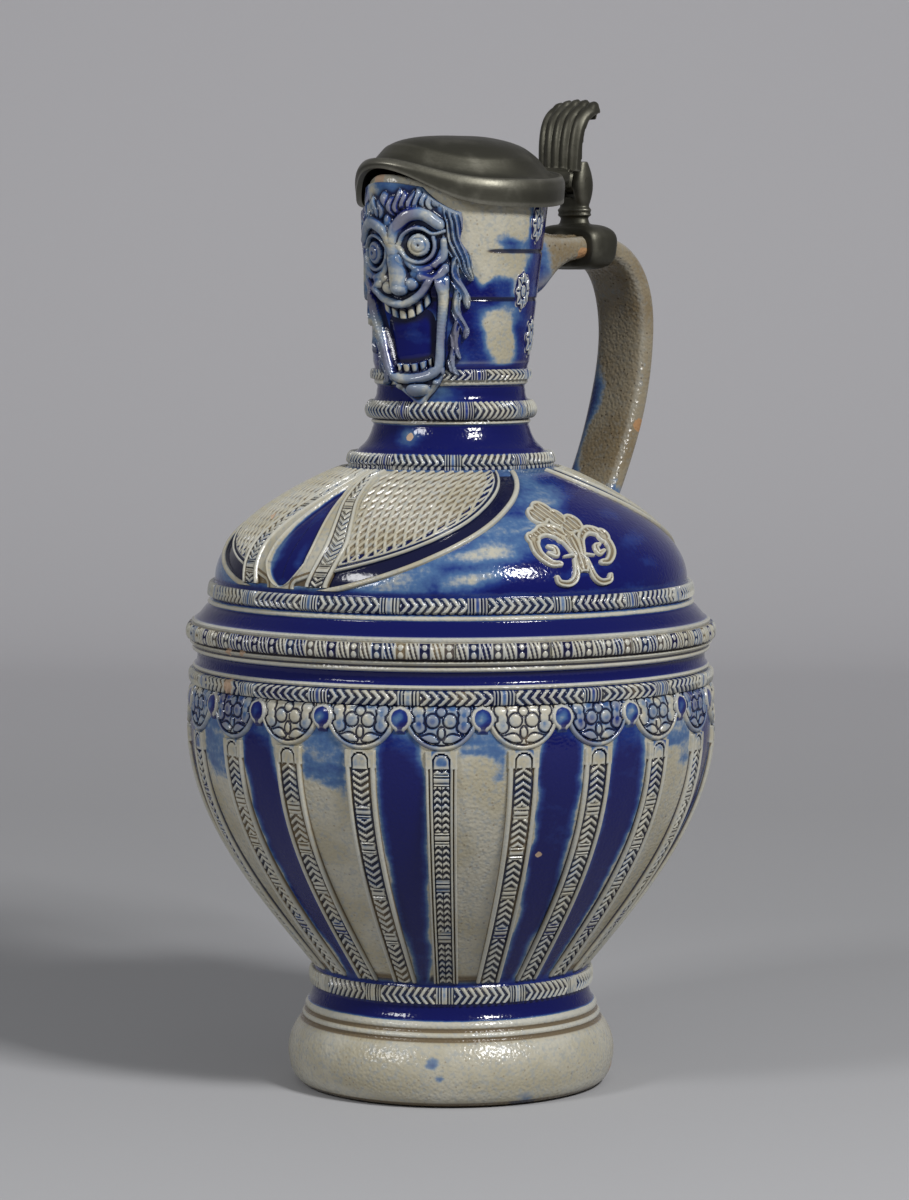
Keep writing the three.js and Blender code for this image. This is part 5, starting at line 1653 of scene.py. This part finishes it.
@dataclass
class StrapHandle:
    """The pulled strap, thick at its root, with soft grooves down its outer side."""

    width: float = 24.6
    thickness: float = 9.7
    root: float = 26.0
    length: float = 160.0
    steps: int = 168

    def centre(self, share: Array) -> tuple[Array, Array, Array, Array]:
        """The strap's middle line.

        Args:
            share: Shares of its length, from the neck down.

        Returns:
            Its places in Y and in Z, and its directions in Y and in Z.
        """
        foot = float(radius_at(204.5)) - 3
        curves = [((26, 294), (40, 300), (51, 303), (66, 303)),
                  ((66, 303), (112, 304), (foot + 26, 238.5), (foot, 201.5))]
        lengths = (0.26, 0.74)
        first = share < lengths[0]
        t = np.where(first, share / lengths[0], (share - lengths[0]) / lengths[1])
        place, along = [], []
        for axis in (0, 1):
            low, high = (self.bezier([p[axis] for p in curve], t) for curve in curves)
            place.append(np.where(first, low[0], high[0]))
            along.append(np.where(first, low[1] / lengths[0], high[1] / lengths[1]))
        size = np.hypot(*along)
        return place[0], place[1], along[0] / size, along[1] / size

    @staticmethod
    def bezier(p: Sequence[float], t: Array) -> tuple[Array, Array]:
        """A cubic curve's value and rate."""
        value = (1 - t) ** 3 * p[0] + 3 * (1 - t) ** 2 * t * p[1] + 3 * (1 - t) * t**2 * p[2] + t**3 * p[3]
        rate = 3 * ((1 - t) ** 2 * (p[1] - p[0]) + 2 * (1 - t) * t * (p[2] - p[1]) + t**2 * (p[3] - p[2]))
        return value, rate

    def build(self, glaze: Material) -> None:
        """Builds the handle."""
        share = np.linspace(0, 1, self.steps)
        y, z, along_y, along_z = self.centre(share)
        across, depth = squarish(full_round(96), 0.62, 0.72)
        thick = (self.thickness + (self.root - self.thickness) * bell(y - 33, 12) * (share < 0.5)) / 2
        wobble = 0.25 * ripple(share * self.length, share * 0, 34, 71)
        width = self.width / 2 + wobble - 0.6 * ease(0.93, 1.0, share)
        outer = np.clip(depth, 0, 1)
        side = np.abs(across)
        groove = 0.8 * bell(side - 0.66, 0.09) + 0.45 * bell(side - 0.3, 0.12)
        groove = groove - 0.25 * bell(side - 0.84, 0.09)
        fade = ease(0.1, 0.2, share) * ease(1.0, 0.9, share)
        reach = thick[:, None] * depth[None] - fade[:, None] * (groove * outer)[None]
        x = across[None] * width[:, None]
        rings = off_line((y, z), (along_y, along_z), x, reach)
        worn = ripple(x, share[:, None] * self.length, 28, 75)
        low = ease(0.55, 0.95, share)[:, None]
        blue = 0.04 + 0.16 * worn + 0.42 * low * (0.6 + worn) + 0.6 * ease(0.14, 0.05, share)[:, None]
        blue = blue + 0.15 * (depth < -0.3)[None] * ease(0.3, 0.5, share)[:, None]
        # The grooves are darkened with painted shade; the side edges count as pale crests.
        relief = (-0.13 * groove * outer)[None] * fade[:, None] + 0.12 * bell(side - 0.9, 0.1)[None]
        piece = lay_skin("strap_handle", rings, None, {"relief": relief, "cobalt": blue}, 80)
        finish_piece(piece, Body.JUG, glaze, ["handle"])


def read(items: Sequence, label: str, width: int, kind: type = np.float32) -> Array:
    """Reads a value of a given width from each vertex or edge of a mesh."""
    values = np.empty(len(items) * width, kind)
    items.foreach_get(label, values)
    return values.reshape(-1, width)


def mark_edges(piece: Piece, rounds: int, strength: float) -> None:
    """Stores on each point how far it stands over what is round it, for the wear on a metal's edges.

    Args:
        piece: The piece.
        rounds: How far round a point is looked at, in edges.
        strength: Factor on the distance, which is in millimetres.
    """
    mesh = piece.data
    points, normals = read(mesh.vertices, "co", 3) / MM, read(mesh.vertices, "normal", 3)
    edges = read(mesh.edges, "vertices", 2, np.int32)
    count = np.bincount(edges.ravel(), minlength=len(points))[:, None]
    smooth = points.copy()
    for _ in range(rounds):
        total = np.zeros_like(smooth)
        np.add.at(total, edges[:, 0], smooth[edges[:, 1]])
        np.add.at(total, edges[:, 1], smooth[edges[:, 0]])
        smooth = total / np.maximum(count, 1)
    store(mesh, "relief", ((points - smooth) * normals).sum(1) * strength)


@dataclass
class PewterLid:
    """The cast pewter lid with its dome, flange and skirt, and the shell thumbpiece soldered to it."""

    radius: float = 37.4
    offset: float = 5.0
    beak: float = 6.2
    shell_width: float = 22.6
    lobes: int = 5

    # Outlines from the edge or the middle: share of the radius, and height at the front, sides and rear
    OUTER: ClassVar[Rows] = [
        (0.995, 8.2, -5.5, -0.5), (1.0, 9.2, -3, 2), (1.0, 10.6, 2.2, 7), (0.985, 11.4, 3.6, 8.1),
        (0.968, 11.9, 4.4, 8.8), (0.952, 11.7, 4.5, 8.8), (0.93, 11.5, 4.2, 8.4), (0.9, 11.8, 4.5, 8.4),
        (0.86, 12.9, 5.5, 9.1), (0.82, 14.4, 7.3, 10.5), (0.78, 15.9, 9.6, 11.9),
        (0.745, 17.0, 11.6, 13.1), (0.72, 17.4, 12.5, 13.9), (0.69, 17.9, 13.4, 14.8),
        (0.6, 18.9, 15.9, 16.9), (0.48, 19.7, 18, 18.3), (0.34, 20.2, 19.4, 19.5),
        (0.2, 20.45, 20.2, 20.2), (0.08, 20.5, 20.45, 20.45),
    ]
    INNER: ClassVar[Rows] = [
        (0.05, 18.1, 18.1, 18.1), (0.36, 17.4, 16.7, 17), (0.55, 16.4, 13.4, 14.6),
        (0.72, 14.4, 8.4, 10.4), (0.86, 10.4, 2.6, 6.2), (0.93, 9, 1.2, 5), (0.945, 8.2, -5.5, -0.5),
    ]
    # The tongue: place in Y, half width, and heights of its lower and upper side over the rim
    TONGUE: ClassVar[Rows] = [
        (33.9, 11, 5.2, 12.2), (41.4, 10.2, 2.4, 10.6), (47.4, 9.2, 2.8, 9.9), (55.0, 7.6, 3.4, 9.6),
        (57.2, 2.5, 2.8, 9.4), (HINGE_Y, 2.5, 1.8, 8.6),
    ]

    def under(self, angle: Array) -> Array:
        """Height of the skirt's lower edge."""
        return RIM_Z + saddle(angle, *self.OUTER[0][1:])

    def rings(self, rows: Sequence[tuple[float, ...]], count: int, angle: Array) -> Array:
        """Rings of the lid along a smooth outline.

        Args:
            rows: Share of the radius, and height at the front, sides and rear, of the outline's points.
            count: Number of rings.
            angle: Angles of a ring's points.

        Returns:
            The points, ring by ring.
        """
        rows = np.array(rows)
        steps = np.hypot(np.diff(rows[:, 0]) * self.radius, np.diff(rows[:, 2]))
        knots = np.concatenate([[0], np.cumsum(steps)])
        at = np.linspace(0, knots[-1], count)
        share, front, side, rear = through_each(knots, rows.T, at)
        a, share = np.meshgrid(angle, share)
        height = saddle(a, front[:, None], side[:, None], rear[:, None])
        reach = share * (self.radius + self.beak * bell(wrap(a), 0.45))
        return np.stack([reach * np.sin(a), self.offset - reach * np.cos(a), RIM_Z + height], -1)

    def shell(self) -> Piece:
        """The fluted shell, which curls back at its top."""
        share = np.linspace(0, 1, 60)
        lean = 1.15 * share**2.2
        y = HINGE_Y - 9.5 + 9.5 * share**3 + 2 * lean
        z = HINGE_Z + 3.5 + 24.0 * np.sin(share * math.pi / 2.15)
        x = np.linspace(-1, 1, 76)
        lobe = np.abs(np.sin(self.lobes * math.pi * (x + 1) / 2)) ** 0.8 * 1.7
        half = self.shell_width / 2 * mix(0.84, 1, share) * (1 - 0.05 * ease(0.85, 1, share))
        thick = mix(2.8, 1.5, share)
        front = thick[:, None] / 2 + lobe[None] * mix(0.35, 1, share)[:, None] - 1.6 * x[None] ** 2
        back = np.broadcast_to(-thick[:, None] / 2 - 1.6 * x[None, ::-1] ** 2, front.shape)
        rim = 0.8 * ease(0.86, 0.94, share)[:, None]
        depth = np.concatenate([front + rim * (lobe[None] > 0.7), back], 1)
        side = np.concatenate([x, x[::-1]])[None] * half[:, None]
        return lay_skin("shell", off_line((y, z), (np.gradient(y), np.gradient(z)), side, depth))

    def hook(self) -> Piece:
        """The hooked tip behind the shell's top edge."""
        turn = np.linspace(0, 1, 24)
        y = HINGE_Y + 1.2 + 3.0 * np.sin(turn * math.pi / 2)
        z = HINGE_Z + 27.1 - 4.2 * turn**1.6
        half = self.shell_width / 2 * mix(0.86, 0.6, turn)
        return self.sweep("hook", (y, z), (np.gradient(y), np.gradient(z)), half, mix(1.0, 0.5, turn))

    def tongue(self) -> Piece:
        """The tongue between the lid and the knuckle."""
        knots = np.array([0, 0.24, 0.46, 0.68, 0.8, 1])
        y, half, low, high = through_each(knots, np.array(self.TONGUE).T, np.linspace(0, 1, 30))
        level = (np.ones_like(y), np.zeros_like(y))
        return self.sweep("tongue", (y, RIM_Z + (low + high) / 2), level, half, (high - low) / 2)

    @staticmethod
    def sweep(name: str, line: Sequence[Array], along: Sequence[Array], half: Array,
              deep: Array) -> Piece:
        """A rounded bar, with its half width and half depth, along a line in Y and Z."""
        across, up = squarish(full_round(40), 0.6, 0.7)
        return lay_skin(name, off_line(line, along, across * half[:, None], up * deep[:, None]))

    def build(self, pewter: Material) -> None:
        """Builds the lid and its thumbpiece."""
        angle = full_round(160)
        rings = np.concatenate([self.rings(self.INNER, 30, angle), self.rings(self.OUTER, 84, angle)])
        poles = [(0, self.offset, RIM_Z + rise) for rise in (self.INNER[0][1], self.OUTER[-1][1])]
        lid = lay_skin("lid", rings, poles, None, 50)
        mark_edges(lid, 6, 1.5)
        finish_piece(lid, Body.LID, pewter, ["pewter_lid"])
        knuckle = hinge_round("knuckle", 4.55, 5.1)
        thumb = cast("shell_thumbpiece", [self.shell(), self.hook(), self.tongue(), knuckle], 0.36, 2)
        mark_edges(thumb, 8, 1.5)
        finish_piece(thumb, Body.LID, pewter, ["thumbpiece"])


def hinge_round(name: str, radius: float, length: float) -> Piece:
    """A round bar on the hinge's axis, with its ends softened.

    Args:
        name: Its name.
        radius: Its radius.
        length: Its length along the axis.

    Returns:
        The bar.
    """
    turn = full_round(48)
    half = length / 2
    stations = [(-half, 0.9), (-half + 0.3, 1.0), (half - 0.3, 1.0), (half, 0.9)]
    rings = np.stack([np.stack([np.full_like(turn, x), HINGE_Y + share * radius * np.cos(turn),
                                HINGE_Z + share * radius * np.sin(turn)], -1) for x, share in stations])
    return lay_skin(name, rings, [(-half, HINGE_Y, HINGE_Z), (half, HINGE_Y, HINGE_Z)])


@dataclass
class HandleMount:
    """The pewter mount: a band round the strap, a post, and two leaves that hold the hinge pin."""

    handle: StrapHandle
    inner: float = 3.05
    thickness: float = 4.0
    band_width: float = 14.6

    # The post: height, half width and half depth
    POST: ClassVar[Rows] = [
        (303.6, 10.8, 9.6), (306.6, 10.2, 8.8), (308.6, 8.6, 6.9), (310.6, 7.0, 5.0), (312.6, 6.2, 4.1),
        (314.0, 6.2, 4.0), (314.5, 7.2, 4.6), (315.1, 7.3, 4.7), (315.6, 6.7, 4.2), (316.2, 7.3, 4.7),
        (316.9, 7.2, 4.6), (317.5, 6.5, 4.0), (319.0, 6.4, 3.8), (321.2, 6.5, 3.7),
    ]

    def leaf(self, hand: int) -> Piece:
        """One leaf-shaped cheek, bellied outwards and pointed at its top."""
        level = np.linspace(-0.6, 0.37, 40)
        wide = 4.5 * np.cos(np.clip(np.abs(level + 0.06) / 0.5, 0, 1) * 1.3)
        deep = self.thickness * mix(0.5, 1, np.cos(np.clip(np.abs(level + 0.1) / 0.5, 0, 1) * 1.3))
        turn = np.linspace(0, math.pi, 18)
        x = self.inner + deep[:, None] * np.sin(turn) ** 0.6
        y = HINGE_Y - np.cos(turn) * wide[:, None]
        rings = np.stack([hand * x, y, HINGE_Z + 20 * level[:, None] + 0 * x], -1)
        return lay_skin("leaf", rings[:, ::-hand])

    def post(self) -> Piece:
        """The post, with a double ridge round its waist, spreading on to the band."""
        knots, *halves = np.array(self.POST).T
        z, turn = np.meshgrid(np.linspace(knots[0], knots[-1], 70), full_round(48), indexing="ij")
        wide, deep = through_each(knots, halves, z)
        return lay_skin("post", np.stack([wide * np.cos(turn), HINGE_Y + deep * np.sin(turn), z], -1))

    def band(self) -> Piece:
        """The rounded band round the strap, with a pointed tail on its under side."""
        share = np.linspace(0, 1, 1200)
        y, z, along_y, along_z = self.handle.centre(share)
        middle = int(np.argmax(y >= HINGE_Y + 0.5))
        length = np.concatenate([[0], np.cumsum(np.hypot(np.diff(y), np.diff(z)))])
        across, up = squarish(full_round(72), 0.55, 0.62)
        place = np.linspace(-1, 1, 25)
        at = np.interp(length[middle] + place * self.band_width / 2, length, share)
        i = np.round(at * (len(share) - 1)).astype(int)
        swell = (0.4 + 2.9 * np.sqrt(np.maximum(0, 1 - place**4)))[:, None]
        x = across * (self.handle.width / 2 + 0.4 + swell)
        reach = up * (self.handle.thickness / 2 + 0.3 + swell)
        rings = off_line((y[i], z[i]), (along_y[i], along_z[i]), x, reach)
        rings[place < -0.9, :, 1] += 3.6 * np.minimum(0, up) * bell(across, 0.35)
        return lay_skin("band", rings)

    def build(self, pewter: Material) -> None:
        """Builds the mount in one casting, with a slot for the knuckle."""
        slot = hinge_round("slot", 5.2, 2 * self.inner)
        parts = [self.leaf(1), self.leaf(-1), self.post(), self.band()]
        mount = cast("handle_band", parts, 0.4, 3)
        cut = mount.modifiers.new("slot", "BOOLEAN")
        cut.operation = "DIFFERENCE"
        cut.solver = "EXACT"
        cut.object = slot
        settle(mount)
        bpy.data.objects.remove(slot)
        mark_edges(mount, 8, 1.5)
        finish_piece(mount, Body.JUG, pewter, ["handle_mount"])


@dataclass
class Studio:
    """The camera, the soft lamps, and a floor that curves up behind, paler up its back as painted light.
    """

    distance: float = 1.474
    azimuth: float = 44 * DEGREE
    height: float = 0.2935
    tilt: float = 85.41 * DEGREE
    aside: float = 0.049 * DEGREE
    lens: float = 122.4
    belly_height: float = 0.16
    floor_front: float = -2600
    floor_half: float = 3200
    bend_start: float = 1500
    bend: float = 500

    def build(self) -> None:
        """Builds the studio."""
        scene = bpy.context.scene
        scene.view_settings.view_transform = "Standard"
        self.place_camera(scene)
        self.lay_floor()
        self.light("key", 38, 40, 1.8, 0.34, 31)
        self.light("fill", -48, 30, 1.9, 0.42, 13)
        world = bpy.data.worlds.new("room")
        scene.world = world
        world.use_nodes = True
        sky = world.node_tree.nodes["Background"].inputs
        sky["Color"].default_value = (0.95, 0.97, 1.0, 1.0)
        sky["Strength"].default_value = 0.19

    @staticmethod
    def out_at(azimuth: float, reach: float, height: float) -> Array:
        """A place in metres, seen from the jug at an azimuth."""
        return np.array([math.sin(azimuth) * reach, -math.cos(azimuth) * reach, height])

    def place_camera(self, scene: bpy.types.Scene) -> None:
        """Puts the camera where the photograph was taken."""
        camera = bpy.data.cameras.new("camera")
        camera.lens = self.lens
        camera.sensor_width = 36
        piece = add_object("camera", camera)
        piece.location = self.out_at(self.azimuth, self.distance, self.height)
        piece.rotation_euler = (self.tilt, 0, self.azimuth - self.aside)
        scene.camera = piece

    def light(self, name: str, turn: float, rise: float, away: float, size: float, power: float) -> None:
        """Hangs a soft square lamp, aimed at the belly.

        Args:
            name: Its name.
            turn: Degrees from the camera's side, towards the right.
            rise: Degrees above the belly.
            away: Distance in metres.
            size: Side in metres.
            power: Watts.
        """
        lamp = bpy.data.lights.new(name, "AREA")
        lamp.size = size
        lamp.energy = power
        piece = add_object(name, lamp)
        around, up = self.azimuth + turn * DEGREE, rise * DEGREE
        piece.location = self.out_at(around, away * math.cos(up), self.belly_height + away * math.sin(up))
        piece.rotation_euler = (math.pi / 2 - up, 0, around)

    def lay_floor(self) -> None:
        """Lays the floor and its rising back, clear from behind so that every side can be seen."""
        turn = np.linspace(0, math.pi / 2, 24)[1:]
        flat = np.linspace(self.floor_front, self.bend_start, 12)
        wall = self.bend_start + self.bend
        run = np.concatenate([flat, self.bend_start + self.bend * np.sin(turn), [wall, wall]])
        rise = np.concatenate([0 * flat, self.bend - self.bend * np.cos(turn), [1200, 2400]])
        side = np.linspace(-self.floor_half, self.floor_half, 9)
        along, across = np.meshgrid(run, side, indexing="ij")
        sine, cosine = math.sin(self.azimuth), math.cos(self.azimuth)
        height = rise[:, None] + 0 * along - 0.2
        points = np.stack([across * cosine - along * sine, along * cosine + across * sine, height], -1)
        floor = lay_mesh("floor", points, [grid_faces(*along.shape)], {"back": ease(300, 1700, along)})
        shader = Shader("floor")
        # Darker in front and paler where it rises behind: painted light that evens out how the lamps fall
        # off.
        tone = shader.blend(shader.value("back"), (0.36, 0.36, 0.37), (0.66, 0.65, 0.67))
        behind = shader.wire("ShaderNodeNewGeometry", {}, {}, "Backfacing")
        paper = shader.wire("ShaderNodeBsdfPrincipled", {}, {"Base Color": tone, "Roughness": 0.85})
        clear = shader.wire("ShaderNodeBsdfTransparent", {}, {})
        either = shader.wire("ShaderNodeMixShader", {}, {0: behind, 1: paper, 2: clear})
        floor.data.materials.append(shader.finish(either))


def main() -> None:
    """Builds the jug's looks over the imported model."""
    logging.basicConfig(level=logging.INFO, format="%(name)s: %(message)s")
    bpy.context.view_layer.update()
    glaze = SaltGlaze("salt_glaze", chips=BODY_CHIPS).material()
    relief_glaze = SaltGlaze("salt_glaze_relief", peel=0.4, speckle=0.2, chips=RELIEF_CHIPS).material()
    handle_glaze = SaltGlaze("salt_glaze_handle", clay=(0.225, 0.19, 0.13), warm_clay=(0.175, 0.135, 0.08),
                             cool_clay=(0.2, 0.19, 0.16), flake=(0.32, 0.175, 0.08), speckle=1.0, peel=1.6,
                             iron=(0.05, 0.032, 0.018), chips=HANDLE_CHIPS).material()
    pewter = Pewter("old_pewter").material()
    Studio().build()
    tree, panels = RingTree(), Panels()
    shoulder, lid, handle = Shoulder(), PewterLid(), StrapHandle()
    Vessel(panels).build(glaze, shoulder.from_flute)
    BellyOrnament(tree, panels).build(relief_glaze)
    Mouldings(tree).build(relief_glaze)
    shoulder.build(relief_glaze)
    NeckOrnament().build(relief_glaze)
    Mask().build(relief_glaze, lid.under)
    handle.build(handle_glaze)
    lid.build(pewter)
    HandleMount(handle).build(pewter)
    dress(bpy.data.objects["hinge_pin"], pewter)


if __name__ == "__main__":
    main()
